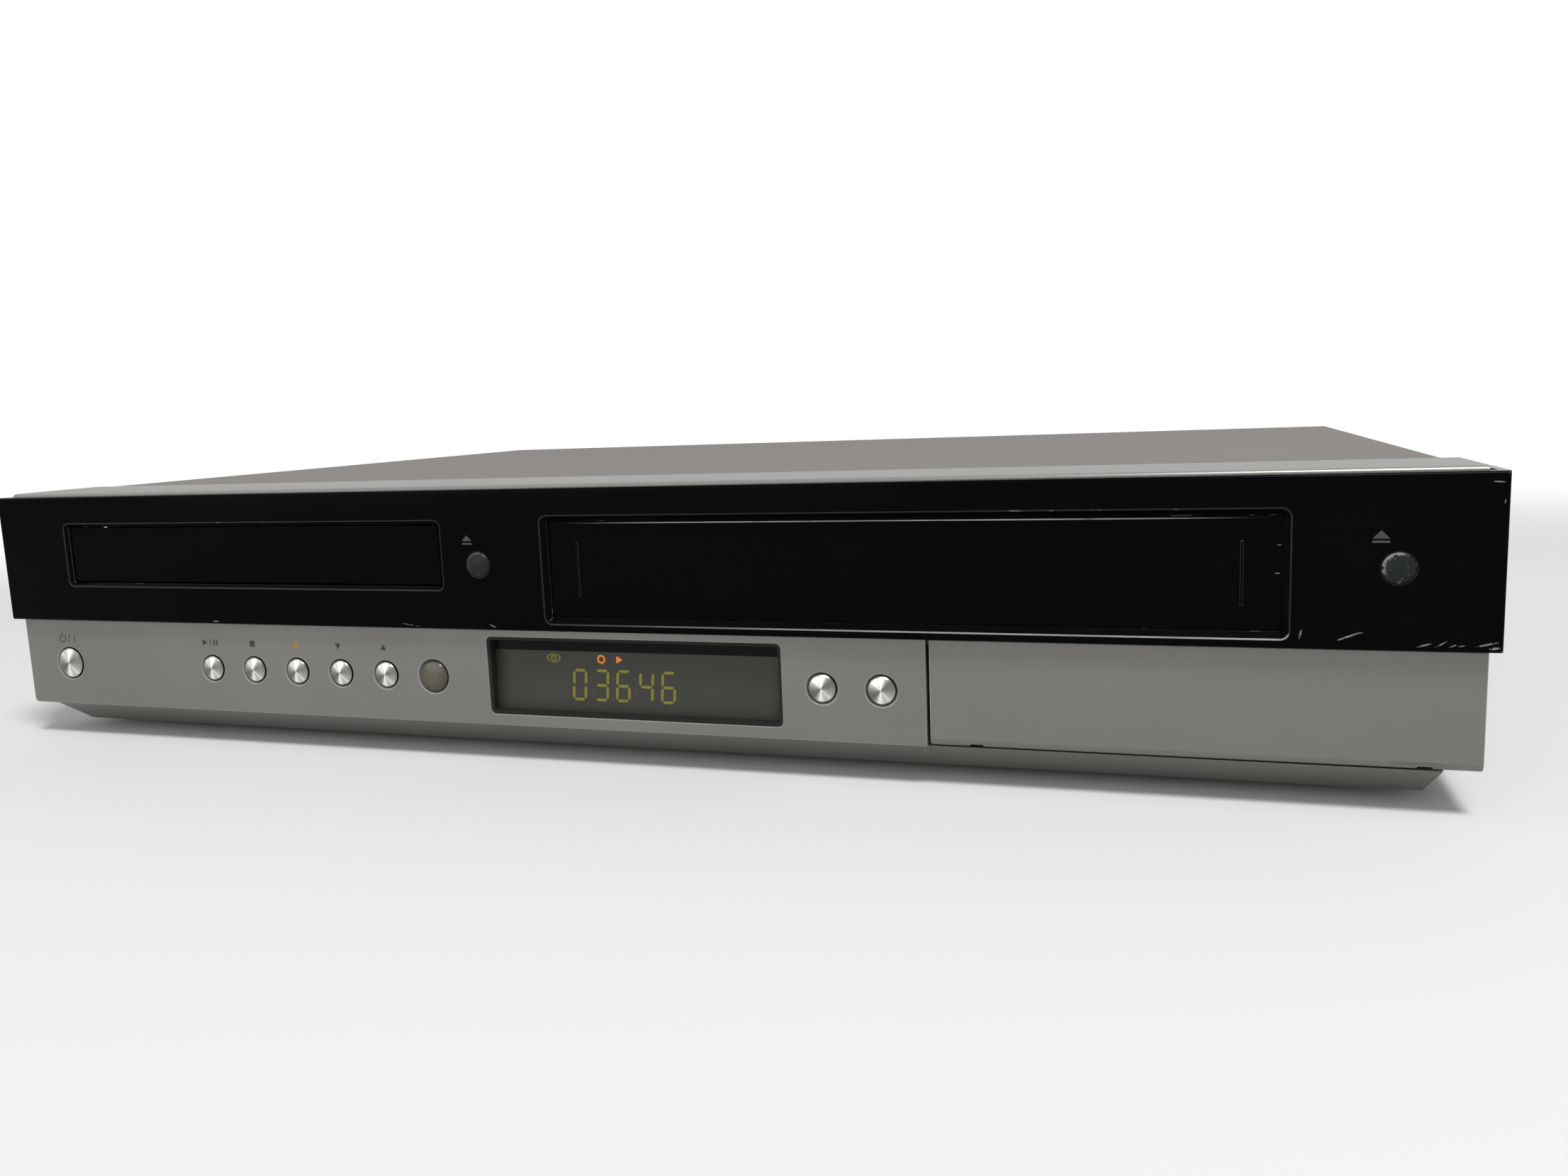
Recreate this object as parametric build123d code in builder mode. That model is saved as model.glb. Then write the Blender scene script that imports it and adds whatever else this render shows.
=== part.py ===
from build123d import *
import math
import os

# A disc recorder and cassette recorder in one low case. Millimetres, +Z up, the user in front
# at -Y. The origin is at the middle of the bounding box's base. Y places are written as depths
# behind the black fascia's face, X places of the two drives as offsets from their own middles.

os.makedirs("parts", exist_ok=True)

# ---- overall ----
case_width = 430.0
case_depth = 315.0
top_z = 79.5
eject_proud = 0.8
rear_jack_proud = 9.0
overall_depth = eject_proud + case_depth + rear_jack_proud
face_y = -overall_depth / 2 + eject_proud

# ---- clearances ----
running = 0.05
seat_gap = 0.2
edge_gap = 0.3
finger_gap = 0.1

# ---- front: fascia and bezel ----
fascia_half = case_width / 2
panel_inset = 2.2
fascia_low_z = 38.9
fascia_top_z = 78.5
fascia_edge_r = 0.8
fascia_return_t = 2.0
fascia_return_depth = 19.0
panel_setback = 2.8
panel_half = fascia_half - panel_inset
panel_low_z = 10.8
panel_corner_r = 1.5
wall_t = 2.5
wall_back = panel_setback + wall_t
strip_start = 3.1
strip_back = 36.0
strip_inset = 3.5
strip_half = fascia_half - strip_inset
strip_low_z = 77.3
strip_nose_r = 1.2
ledge_inset = 9.0
ledge_half = fascia_half - ledge_inset
ledge_length = 6.0
ledge_drop = 1.2
ledge_t = 1.8
side_wall_t = 2.0
skirt_top_depth = 4.0
skirt_low_z = 2.7
skirt_foot_depth = 15.0
skirt_back_depth = 22.0
skirt_t = 2.0
skirt_inset = 10.0
skirt_slant = 2.3
skirt_top_half = fascia_half - skirt_inset
skirt_low_half = skirt_top_half - skirt_slant

# ---- steel case ----
steel_t = 1.0
cover_t = 0.8
cover_inset = 5.0
cover_half = fascia_half - cover_inset
cover_top_z = 79.3
cover_low_z = 5.2
cover_bend_r = 2.5
cover_start = strip_back + 0.3
chassis_half = cover_half - cover_t - seat_gap
chassis_z = 4.9
chassis_start = 16.0
chassis_corner_start = 25.0
floor_z = chassis_z + steel_t
flange_z = 20.0
foot_r = 12.0
foot_taper = 1.0
foot_inset = 45.0
foot_x = fascia_half - foot_inset
foot_depths = (45.0, case_depth - 35.0)
case_screw_r = 1.5
case_screw_head_r = 3.2
case_screw_head_t = 1.6
case_screw_length = 6.0
side_screw_depths = (70.0, case_depth - 45.0)
side_screw_z = 14.0
rear_screw_inset = 20.0
rear_screw_x = (rear_screw_inset - cover_half, 0.0, cover_half - rear_screw_inset)
rear_screw_z = 72.0

# ---- buttons ----
round_button_r = 3.75
hole_chamfer = 0.6
button_proud = 0.7
button_travel = 0.8
button_dome = 0.45
flange_extra = 1.0
flange_t = 1.0
stem_r = 1.2
board_depth = 12.5
board_t = 1.6
front_board_spans = (
    ((-207.0, 84.0), (13.0, 37.4)),
    ((-47.0, -27.0), (37.4, 67.0)),
    ((180.0, 206.0), (43.0, 67.0)),
)
switch_side = 6.0
switch_body_t = 3.4
switch_plunger_r = 1.6
switch_plunger_t = 0.5
power_button_inset = 17.3
power_button_x = power_button_inset - panel_half
cassette_eject_inset = 21.0
cassette_eject_x = fascia_half - cassette_eject_inset
disc_eject_x = -38.3
play_row_x = (-137.6, -121.7, -105.8, -89.95, -74.1)
dubbing_x = -57.8
right_row_x = (59.8, 75.7)
button_edge_r = 0.4
low_row_z = 24.4
right_row_z = 25.0
eject_row_z = 57.5
eject_button_r = 3.5
power_button_r = 4.8
dub_button_r = 4.5

# ---- disc tray opening and door ----
tray_x = -119.25
tray_open_half = 69.15
tray_open_low_z = 50.1
tray_open_high_z = 70.0
tray_bevel = 1.1
tray_door_inset = 1.4
tray_door_t = 2.6
opening_corner_r = 1.8
carrier_margin = 0.6

# ---- cassette opening and flap ----
deck_x = 76.75
slot_open_half = 95.15
slot_open_low_z = 41.0
slot_open_high_z = 71.0
slot_bevel = 1.7
slot_corner_r = 0.4
flap_pocket_depth = 1.9
flap_start = 2.1
flap_t = 2.0
flap_lap = 0.7
flap_top_z = 70.4
flap_hinge_z = 72.4
flap_hinge_depth = 5.2
flap_barrel_r = 1.6
flap_pin_r = 1.0
flap_rib_x = 84.9
flap_rib_half_w = 0.45
flap_rib_proud = 0.35
flap_rib_low_z = 48.4
flap_rib_high_z = 63.6

# ---- display ----
window_left = -39.4
window_right = 48.8
window_low_z = 14.1
window_high_z = 36.5
window_r = 1.5
window_lens_depth = 5.6
window_lens_t = 1.4
window_rim_t = 0.9
window_lap = 2.5
window_rim_start = 3.2
display_tube_t = 3.0
display_back_inset = 2.0
display_back_z = (15.0, 35.5)

# ---- input door and its bay ----
door_left = 88.2
door_gap = 0.8
door_top_gap = 0.4
door_t = 2.2
door_hinge_r = 2.2
door_hinge_z = 13.2
door_pin_r = 0.7
door_notch_w = 3.2
door_notch_inset = 10.0
door_notch_skin = 0.6
door_lug_r = 1.35
bay_depth = 14.5
bay_wall_t = 1.6
jack_z = 24.5
bay_foot_z = 8.5
ear_t = 1.6
ear_r = 2.6
boss_r = 2.5

# ---- disc drive ----
drive_half = 70.0
drive_wall_t = 2.0
drive_floor_z = 47.0
drive_floor_t = 1.5
drive_wall_top_z = 66.0
drive_start = 6.5
drive_back = 182.0
drive_leg_w = 6.0
drive_leg_rise = 8.0
drive_back_wall_z = 54.0
drive_guide_t = 2.0
drive_lip_t = 1.4
drive_guide_start = 2.0
drive_leg_depths = (27.0, 160.0)
drive_opening_half = 45.0
drive_opening_start = 46.0
drive_opening_back = 168.0
tray_half = 65.4
tray_rail_w = 1.8
tray_low_z = 55.0
tray_floor_t = 2.2
tray_wall_z = 62.5
tray_wall_t = 2.0
tray_start = tray_door_inset + tray_door_t
tray_length = 156.0
tray_travel = 135.0
rail_low_z = 57.6
rail_t = 2.4
disc_depth = 74.0
disc_recess_r = 61.0
small_recess_r = 41.0
small_recess_drop = 0.8
tray_slot_half = 24.0
turntable_r = 14.0
turntable_low_z = 53.9
turntable_top_z = 57.3
cone_r = 7.4
cone_top_z = 59.4
clamper_r = 14.5
clamper_low_z = 60.4
bridge_t = 1.2
bridge_half_depth = 26.0
bridge_window = (22.0, 58.0)
bridge_window_half = 12.0
clamper_neck_r = 9.0
clamper_flange_r = 13.0
clamper_pad_t = 2.6
clamper_flange_t = 1.2
traverse_half = 48.0
traverse_start = 47.0
traverse_back = 152.0
traverse_t = 1.5
sled_opening_half = 22.0
sled_opening_start = 90.0
sled_opening_back = 148.0
rod_offset = 26.0
rod_r = 1.5
rod_z_place = 52.4
sled_start = 93.0
sled_length = 22.0
sled_travel = 31.0
screw_offset = 17.0
screw_z = 46.4
screw_r = 1.4
screw_lead = 3.0
gear_module = 1.0
gear_teeth = 20
gear_depth = 20.0
rack_offset = 54.0
rack_low_z = 52.4
gear_thinning = 0.80
gear_pin_r = 1.5
pressure_angle = 20.0
guide_gap = 0.8
spindle_r = 1.0
motor_x = -98.0
motor_depth = 24.0
motor_shaft_r = 1.0

# ---- cassette deck ----
deck_half = 101.5
deck_z = 22.8
deck_plate_t = 1.2
deck_start = 24.0
deck_back = case_depth - 27.0
deck_leg_r = 3.5
deck_leg_x = 95.0
deck_leg_depths = (32.0, case_depth - 35.0)
side_rail_half = 98.8
side_rail_t = 1.5
side_rail_top_z = 76.0
side_rail_back = 206.0
carriage_half = 96.6
carriage_t = 1.3
carriage_start = 46.0
carriage_length = 60.0
carriage_low_z = 40.0
carriage_bar_z = 72.2
carriage_bar_t = 1.3
carriage_pin_r = 1.6
carriage_pin_z = 67.0
holder_half = 95.8
holder_t = 1.0
holder_low_z = 42.6
holder_high_z = 70.4
holder_start = 22.0
holder_length = 105.0
holder_roof_start = 38.0
holder_ledge_w = 12.0
holder_pin_r = 1.5
holder_pin_z = 62.0
holder_in = 70.0
holder_down = 13.0
holder_roof_window = (14.0, 76.0)
holder_stop_span = (60.0, 74.0)
reel_offset = 46.0
reel_depth = 136.0
reel_r = 18.0
reel_hub_r = 8.5
reel_pin_r = 2.0
reel_flange_t = 4.0
drum_depth = 235.0
drum_r = 31.0
drum_tilt = 5.0
drum_lower_h = 17.0
drum_upper_h = 13.0
drum_shaft_r = 3.0
drum_seat_z = 27.0
capstan_offset = 62.0
capstan_depth = 206.0
capstan_r = 2.0
flywheel_r = 24.0
flywheel_drop = 3.2
pinch_pivot_offset = 88.0
pinch_pivot_depth = 215.0
pinch_arm_length = 20.0
pinch_rest_angle = 156.0
pinch_roller_r = 6.5
guide_travel = 37.9
guide_lean = 12.0
guide_offset = 34.0
guide_depth = 186.0
guide_slot_w = 5.0
post_r = 2.0
reel_top_z = 40.0
tape_top_z = 54.0
arm_low_z = 30.0
arm_top_z = 33.0
pinch_pin_r = 1.5
guide_block = 12.0
tape_post_places = ((-62.0, 204.0), (-58.0, 214.0), (50.0, 197.0))
tape_head_places = ((-72.0, 206.0), (63.0, 190.0))
loading_motor_offset = 84.0
loading_motor_depths = (236.0, 262.0)
loading_motor_r = 8.0

# ---- boards and rear sockets ----
main_board_z = 12.0
main_board_start = 33.0
main_board_inset = 24.0
main_board_span = (main_board_inset - cover_half, 168.0)
main_wing_x = -52.0
main_neck_x = -28.0
main_strip_w = 23.0
board_gap = 8.0
board_side_gap = 6.0
power_length = 90.0
power_width = 98.0
power_inset = 6.0
power_back = case_depth - 15.0
power_start = power_back - power_length
power_left = power_inset - cover_half
power_span = (power_left, power_left + power_width)
main_tail_x = power_span[1] + board_side_gap
main_wing_back = power_start - board_gap
tail_middle = case_depth - 65.0
standoff_r = 3.0
standoff_inset = 8.0
standoff_rear_inset = 6.0
standoff_tail_inset = 10.0
main_standoff_inset = 7.0
main_rear_inset = 13.0
main_rear_columns = (-40.0, 60.0, 158.0)
chip_places = (
    (-150.0, 80.0, 24.0, 2.0),
    (-110.0, 80.0, 14.0, 1.6),
    (-110.0, 110.0, 14.0, 1.6),
    (-150.0, 130.0, 18.0, 1.6),
    (-80.0, 140.0, 12.0, 1.4),
)
power_middle = case_depth - 66.0
core_span = (36.0, 68.0)
core_half = 13.0
core_h = 5.0
coil_span = (40.0, 64.0)
coil_half = 17.0
coil_top = 24.0
mains_cap_place = (20.0, -9.0)
mains_cap_r = 11.0
mains_cap_h = 30.0
small_cap_offset = 84.0
small_cap_steps = (-27.0, -9.0, 9.0)
small_cap_r = 5.0
small_cap_h = 20.0
sink_span = (30.0, 70.0)
sink_depths = (23.0, 26.0)
sink_fins = 8
sink_fin_start = 32.0
sink_fin_pitch = 5.1
sink_fin_t = 1.4
sink_fin_reach = 10.0
choke_span = (4.0, 24.0)
choke_depths = (13.0, 31.0)
choke_h = 16.0
tuner_chip = (-64.0, case_depth - 75.0, 16.0, 1.6)
chip_fins = 7
chip_fin_start_x = -160.0
chip_fin_pitch = 3.3
chip_fin_t = 1.2
chip_fin_span = (70.0, 90.0)
chip_fin_rise = (2.0, 12.0)
rear_panel_low_z = floor_z
rear_panel_t = 1.0
scart_x = (30.0, 92.0)
scart_w = 47.0
scart_h = 15.0
scart_z = 26.0
scart_proud = 6.0
scart_pins = 10
scart_pitch = 3.81
scart_row_offset = 1.8
scart_hole_w = 2.2
scart_hole_h = 1.0
phono_x = (-84.0, -70.0, -56.0, -42.0)
phono_z = (26.0, 42.0)
phono_r = 4.15
phono_proud = 8.0
tuner_x = 140.0
tuner_w = 26.0
tuner_z = (30.0, 52.0)
aerial_r = 4.8
inlet_inset = 23.0
inlet_x = inlet_inset - cover_half
inlet_z = 30.0
fan_offset = 69.0
fan_x = power_left + fan_offset
fan_z = 49.0
fan_side = 40.0
fan_depth = 10.0
fan_bore_r = 18.8
fan_blade_r = 18.0
fan_hub_r = 9.0
fan_blades = 7
blade_pitch = 35.0
blade_chord = 8.0
blade_t = 0.9
inlet_pin_offset = 4.3
inlet_recess = 11.0
jack_reach = 7.5
front_phono_x = (150.0, 166.0, 182.0)
s_video_x = 124.0
digital_x = 104.0
digital_w = 10.0
digital_h = 7.0
digital_mouth_w = 6.0
digital_mouth_h = 3.0


def behind(depth):
    """The Y place that lies a depth behind the fascia's face."""
    return face_y + depth


def slab(x, depth, z, mode=Mode.ADD):
    """A rectangular block between pairs of X, depth and Z places, in the open part."""
    centre = ((x[0] + x[1]) / 2, behind((depth[0] + depth[1]) / 2), (z[0] + z[1]) / 2)
    with Locations(centre):
        Box(x[1] - x[0], depth[1] - depth[0], z[1] - z[0], mode=mode)


def rod_y(x, depth, z, radius, mode=Mode.ADD):
    """A cylinder along Y between a pair of depths, in the open part."""
    with Locations(Location((x, behind((depth[0] + depth[1]) / 2), z), (90, 0, 0))):
        Cylinder(radius, depth[1] - depth[0], mode=mode)


def rod_z(x, depth, z, radius, mode=Mode.ADD):
    """An upright cylinder between a pair of Z places, in the open part."""
    with Locations((x, behind(depth), (z[0] + z[1]) / 2)):
        Cylinder(radius, z[1] - z[0], mode=mode)


def rod_x(x, depth, z, radius, mode=Mode.ADD):
    """A cylinder along X between a pair of X places, in the open part."""
    with Locations(Location(((x[0] + x[1]) / 2, behind(depth), z), (0, 90, 0))):
        Cylinder(radius, x[1] - x[0], mode=mode)


def front_plane(depth):
    """The upright sketch plane at a depth, with local x along X and local y along Z."""
    return Plane.XZ.offset(-behind(depth))


def opening(x, z, radius=0.0, mode=Mode.SUBTRACT):
    """A rectangle between pairs of local places in the open sketch, with rounded corners."""
    with Locations(((x[0] + x[1]) / 2, (z[0] + z[1]) / 2)):
        if radius > 0:
            RectangleRounded(x[1] - x[0], z[1] - z[0], radius, mode=mode)
        else:
            Rectangle(x[1] - x[0], z[1] - z[0], mode=mode)


def save(piece, name):
    """Labels a finished part and writes it to its STEP file."""
    piece.part.label = name
    export_step(piece.part, f"parts/{name}.step")


# ---- places shared by several pieces ----
low_row = {
    "power_button": (power_button_x, low_row_z, power_button_r),
    "play_button": (play_row_x[0], low_row_z, round_button_r),
    "stop_button": (play_row_x[1], low_row_z, round_button_r),
    "record_button": (play_row_x[2], low_row_z, round_button_r),
    "program_down_button": (play_row_x[3], low_row_z, round_button_r),
    "program_up_button": (play_row_x[4], low_row_z, round_button_r),
    "dubbing_button": (dubbing_x, low_row_z, dub_button_r),
    "source_button": (right_row_x[0], right_row_z, round_button_r),
    "scan_button": (right_row_x[1], right_row_z, round_button_r),
}
eject_row = {
    "disc_eject_button": (disc_eject_x, eject_row_z, eject_button_r),
    "cassette_eject_button": (cassette_eject_x, eject_row_z, eject_button_r),
}
all_buttons = {**low_row, **eject_row}
stem_end = board_depth - switch_body_t - switch_plunger_t - button_travel - finger_gap

tray_span = (tray_x - tray_open_half, tray_x + tray_open_half)
tray_inner = (tray_span[0] + tray_bevel, tray_span[1] - tray_bevel)
tray_inner_z = (tray_open_low_z + tray_bevel, tray_open_high_z - tray_bevel)
slot_span = (deck_x - slot_open_half, deck_x + slot_open_half)
slot_inner = (slot_span[0] + slot_bevel, slot_span[1] - slot_bevel)
slot_inner_z = (slot_open_low_z + slot_bevel, slot_open_high_z - slot_bevel)
flap_span = (slot_inner[0] - flap_lap, slot_inner[1] + flap_lap)
flap_low_z = slot_inner_z[0] - flap_lap
flap_room = (flap_span[0] - edge_gap * 2, flap_span[1] + edge_gap * 2)
flap_room_z = (flap_low_z - edge_gap * 2, flap_hinge_z + flap_barrel_r + edge_gap)
window_span = (window_left, window_right)
window_span_z = (window_low_z, window_high_z)
door_right = panel_half
door_top_z = fascia_low_z - door_top_gap
door_hinge_depth = panel_setback + door_hinge_r
door_low_z = door_hinge_z - door_hinge_r
bay_left = door_left - door_gap
bay_right = panel_half - side_wall_t
bay_floor_start = door_hinge_depth + door_hinge_r + edge_gap
bay_low_z = door_low_z + 2 * door_hinge_r
bay_high_z = door_top_z - bay_wall_t
bay_roof_z = fascia_low_z + bay_wall_t
notch_lefts = (door_left + door_notch_inset, door_right - door_notch_inset - door_notch_w)
boss_places = ((-202.0, 16.0), (-150.0, 32.5), (-68.0, 33.0), (-46.0, 46.5), (-30.0, 63.5),
               (55.0, 34.0), (202.0, 46.0), (183.0, 63.0))
ear_lefts = (flap_room[0] - ear_t, flap_room[1])
flap_pin_length = flap_span[0] - flap_room[0] + ear_t - finger_gap

# ---- black fascia ----
with BuildPart() as black_fascia:
    with BuildSketch(front_plane(0)):
        opening((-fascia_half, fascia_half), (fascia_low_z, fascia_top_z), mode=Mode.ADD)
    extrude(amount=-panel_setback)
    fillet(black_fascia.faces().sort_by(Axis.Y)[0].edges(), fascia_edge_r)
    with BuildSketch(front_plane(0)):
        opening(tray_inner, tray_inner_z, opening_corner_r - tray_bevel, Mode.ADD)
        opening(slot_inner, slot_inner_z, slot_corner_r, Mode.ADD)
    extrude(amount=-panel_setback, mode=Mode.SUBTRACT)
    rims = black_fascia.faces().sort_by(Axis.Y)[0].inner_wires()
    tray_rim = rims.sort_by(Axis.X)[0].edges()
    slot_rim = rims.sort_by(Axis.X)[-1].edges()
    chamfer(tray_rim, tray_bevel)
    chamfer(slot_rim, slot_bevel)
    slab(flap_room, (flap_pocket_depth, panel_setback), flap_room_z, Mode.SUBTRACT)
    for x, z, r in eject_row.values():
        rod_y(x, (-1, panel_setback + 1), z, r + finger_gap, Mode.SUBTRACT)
    for side in (-1, 1):
        inner = side * (fascia_half - fascia_return_t)
        span = tuple(sorted((side * fascia_half, inner)))
        slab(span, (panel_setback, fascia_return_depth), (fascia_low_z, fascia_top_z))
save(black_fascia, "black_fascia")

# ---- silver front bezel ----
with BuildPart() as front_bezel:
    with BuildSketch(front_plane(panel_setback)):
        opening((-panel_half, panel_half), (panel_low_z, strip_low_z), panel_corner_r, Mode.ADD)
        opening(
            (tray_inner[0] - carrier_margin, tray_inner[1] + carrier_margin),
            (tray_inner_z[0] - carrier_margin, tray_inner_z[1] + carrier_margin),
        )
        opening(flap_room, flap_room_z)
        opening(window_span, window_span_z, window_r)
        opening((door_left - door_gap, door_right + 1), (panel_low_z - 1, fascia_low_z))
        for x, z, r in all_buttons.values():
            with Locations((x, z)):
                Circle(r + finger_gap, mode=Mode.SUBTRACT)
    extrude(amount=-wall_t)
    face = front_bezel.faces().sort_by(Axis.Y)[0]
    low_centres = [Vector(x, behind(panel_setback), z) for x, z, r in low_row.values()]
    rims = [
        edge
        for edge in face.edges().filter_by(GeomType.CIRCLE)
        if any((edge.arc_center - centre).length < 0.01 for centre in low_centres)
    ]
    chamfer(rims, hole_chamfer)
    with BuildSketch(Plane.YZ.offset(-strip_half)):
        with BuildLine():
            Polyline(
                (behind(strip_start + strip_nose_r), top_z),
                (behind(strip_back), top_z),
                (behind(strip_back), top_z - ledge_drop - ledge_t),
                (behind(strip_start), top_z - ledge_drop - ledge_t),
                (behind(strip_start), top_z - strip_nose_r),
            )
            RadiusArc(
                (behind(strip_start), top_z - strip_nose_r),
                (behind(strip_start + strip_nose_r), top_z),
                strip_nose_r,
            )
        make_face()
    extrude(amount=2 * strip_half)
    ledge_top = cover_top_z - cover_t - seat_gap
    slab((-ledge_half, ledge_half), (strip_back, strip_back + ledge_length), (ledge_top - ledge_t, ledge_top))
    for side in (-1, 1):
        inner = side * (panel_half - side_wall_t)
        span = tuple(sorted((side * panel_half, inner)))
        slab(span, (wall_back, strip_back), (panel_low_z + panel_corner_r, strip_low_z))
    slab(
        (bay_right - 1, panel_half + 1),
        (wall_back, bay_floor_start),
        (panel_low_z, bay_low_z),
        Mode.SUBTRACT,
    )
    with BuildSketch(Plane.YZ.offset(-skirt_top_half)):
        with BuildLine():
            Polyline(
                (behind(skirt_top_depth), panel_low_z),
                (behind(skirt_foot_depth), skirt_low_z),
                (behind(skirt_back_depth), skirt_low_z),
                (behind(skirt_back_depth), skirt_low_z + skirt_t),
                (behind(skirt_foot_depth + 1), skirt_low_z + skirt_t),
                (behind(wall_back + skirt_t), panel_low_z),
                close=True,
            )
        make_face()
    extrude(amount=2 * skirt_top_half)
    for side in (-1, 1):
        with BuildSketch(front_plane(0)):
            with BuildLine():
                Polyline(
                    (side * skirt_top_half, panel_low_z),
                    (side * skirt_low_half, skirt_low_z),
                    (side * (skirt_top_half + 1), skirt_low_z),
                    close=True,
                )
            make_face()
        extrude(amount=-skirt_back_depth, mode=Mode.SUBTRACT)
    # the input bay: four walls behind the door, the lower one joined to the skirt
    slab((bay_left - bay_wall_t, bay_left), (wall_back, bay_depth), (bay_foot_z, bay_roof_z))
    slab((bay_left, bay_right), (bay_floor_start, bay_depth), (bay_low_z - bay_wall_t, bay_low_z))
    slab(
        (bay_left, skirt_low_half),
        (bay_floor_start, bay_floor_start + bay_wall_t),
        (bay_foot_z, bay_low_z),
    )
    slab((bay_left, bay_right), (wall_back, bay_depth), (bay_high_z, bay_roof_z))
    for left in notch_lefts:
        lug = (left + seat_gap, left + door_notch_w - seat_gap)
        slab(lug, (door_hinge_depth, bay_floor_start), (door_hinge_z - 1, door_hinge_z + 1))
        rod_x(lug, door_hinge_depth, door_hinge_z, door_lug_r)
        rod_x(lug, door_hinge_depth, door_hinge_z, door_pin_r + running, Mode.SUBTRACT)
    # ears that carry the flap's pins
    for left in ear_lefts:
        span = (left, left + ear_t)
        slab(span, (wall_back, flap_hinge_depth + ear_r), (flap_hinge_z - ear_r, flap_hinge_z + ear_r))
        rod_x(span, flap_hinge_depth, flap_hinge_z, flap_pin_r + running, Mode.SUBTRACT)
    # bosses that carry the front boards
    for x, z in boss_places:
        rod_y(x, (wall_back, board_depth), z, boss_r)
save(front_bezel, "front_bezel")

# ---- input door ----
with BuildPart() as input_door:
    slab((door_left, door_right), (panel_setback, panel_setback + door_t), (door_hinge_z, door_top_z))
    rod_x((door_left, door_right), door_hinge_depth, door_hinge_z, door_hinge_r)
    for left in notch_lefts:
        slab(
            (left, left + door_notch_w),
            (panel_setback + door_notch_skin, door_hinge_depth + door_hinge_r + 1),
            (door_low_z - 1, door_hinge_z + door_lug_r + edge_gap),
            Mode.SUBTRACT,
        )
        rod_x((left - 1, left + door_notch_w + 1), door_hinge_depth, door_hinge_z, door_pin_r)
save(input_door, "input_door")

# ---- cassette flap ----
with BuildPart() as cassette_flap:
    slab(flap_span, (flap_start, flap_start + flap_t), (flap_low_z, flap_top_z))
    slab(flap_span, (flap_start + seat_gap, flap_hinge_depth), (flap_top_z - 1.2, flap_hinge_z))
    rod_x(flap_span, flap_hinge_depth, flap_hinge_z, flap_barrel_r)
    rod_x(
        (flap_span[0] - flap_pin_length, flap_span[1] + flap_pin_length),
        flap_hinge_depth,
        flap_hinge_z,
        flap_pin_r,
    )
    for side in (-1, 1):
        x = deck_x + side * flap_rib_x
        slab(
            (x - flap_rib_half_w, x + flap_rib_half_w),
            (flap_start - flap_rib_proud, flap_start),
            (flap_rib_low_z, flap_rib_high_z),
        )
save(cassette_flap, "cassette_flap")

# ---- disc tray door ----
with BuildPart() as tray_door:
    with BuildSketch(front_plane(tray_door_inset)):
        opening(
            (tray_inner[0] + edge_gap, tray_inner[1] - edge_gap),
            (tray_inner_z[0] + edge_gap, tray_inner_z[1] - edge_gap),
            opening_corner_r - tray_bevel,
            Mode.ADD,
        )
    extrude(amount=-tray_door_t)
    fillet(tray_door.faces().sort_by(Axis.Y)[0].edges(), 0.3)
save(tray_door, "tray_door")

# ---- display window: a dark lens with a rim that lines the bezel's opening ----
with BuildPart() as display_window:
    slab(
        (window_left - window_lap, window_right + window_lap),
        (window_lens_depth, window_lens_depth + window_lens_t),
        (window_low_z - window_lap, window_high_z + window_lap / 2),
    )
    with BuildSketch(front_plane(window_rim_start)):
        opening(
            (window_left + finger_gap, window_right - finger_gap),
            (window_low_z + finger_gap, window_high_z - finger_gap),
            window_r,
            Mode.ADD,
        )
        opening(
            (window_left + window_rim_t, window_right - window_rim_t),
            (window_low_z + window_rim_t, window_high_z - window_rim_t),
            window_r / 2,
        )
    extrude(amount=window_rim_start - window_lens_depth)
save(display_window, "display_window")


def push_button(name, x, z, radius, face_depth, wall_depth):
    """A button with a domed head, a flange behind the wall and a stem to its switch."""
    flange = (wall_depth + seat_gap, wall_depth + seat_gap + flange_t)
    with BuildPart() as button:
        profile_plane = Plane(
            origin=(x, behind(face_depth), z), x_dir=(1, 0, 0), z_dir=(0, 0, 1)
        )
        with BuildSketch(profile_plane) as profile:
            with BuildLine():
                ThreePointArc(
                    (0, 0),
                    (radius / 2, button_dome / 4),
                    (radius - button_edge_r, button_dome),
                )
                Polyline(
                    (radius - button_edge_r, button_dome),
                    (radius, button_dome + button_edge_r),
                    (radius, flange[0] - face_depth),
                    (radius + flange_extra, flange[0] - face_depth),
                    (radius + flange_extra, flange[1] - face_depth),
                    (stem_r, flange[1] - face_depth),
                    (stem_r, stem_end - face_depth),
                    (0, stem_end - face_depth),
                    (0, 0),
                )
            make_face()
        revolve(profile.sketch, axis=Axis((x, behind(face_depth), z), (0, 1, 0)))
    save(button, name)


for name, (x, z, r) in low_row.items():
    push_button(name, x, z, r, panel_setback - button_proud, wall_back)
for name, (x, z, r) in eject_row.items():
    push_button(name, x, z, r, -eject_proud, wall_back)

# ---- front boards with the button switches ----
with BuildPart() as front_board:
    back = (board_depth, board_depth + board_t)
    for board_x, board_z in front_board_spans:
        slab(board_x, back, board_z)
    for x, z, r in all_buttons.values():
        half = switch_side / 2
        slab((x - half, x + half), (board_depth - switch_body_t, board_depth), (z - half, z + half))
        top = board_depth - switch_body_t
        rod_y(x, (top - switch_plunger_t, top), z, switch_plunger_r)
save(front_board, "front_board")

# ---- display module behind the window ----
with BuildPart() as display_module:
    tube = window_lens_depth + window_lens_t + seat_gap
    tube_back = tube + display_tube_t
    slab((window_left, window_right), (tube, tube_back), (window_low_z, window_high_z))
    back_span = (window_left + display_back_inset, window_right - display_back_inset)
    slab(back_span, (tube_back, board_depth), display_back_z)
save(display_module, "display_module")

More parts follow.
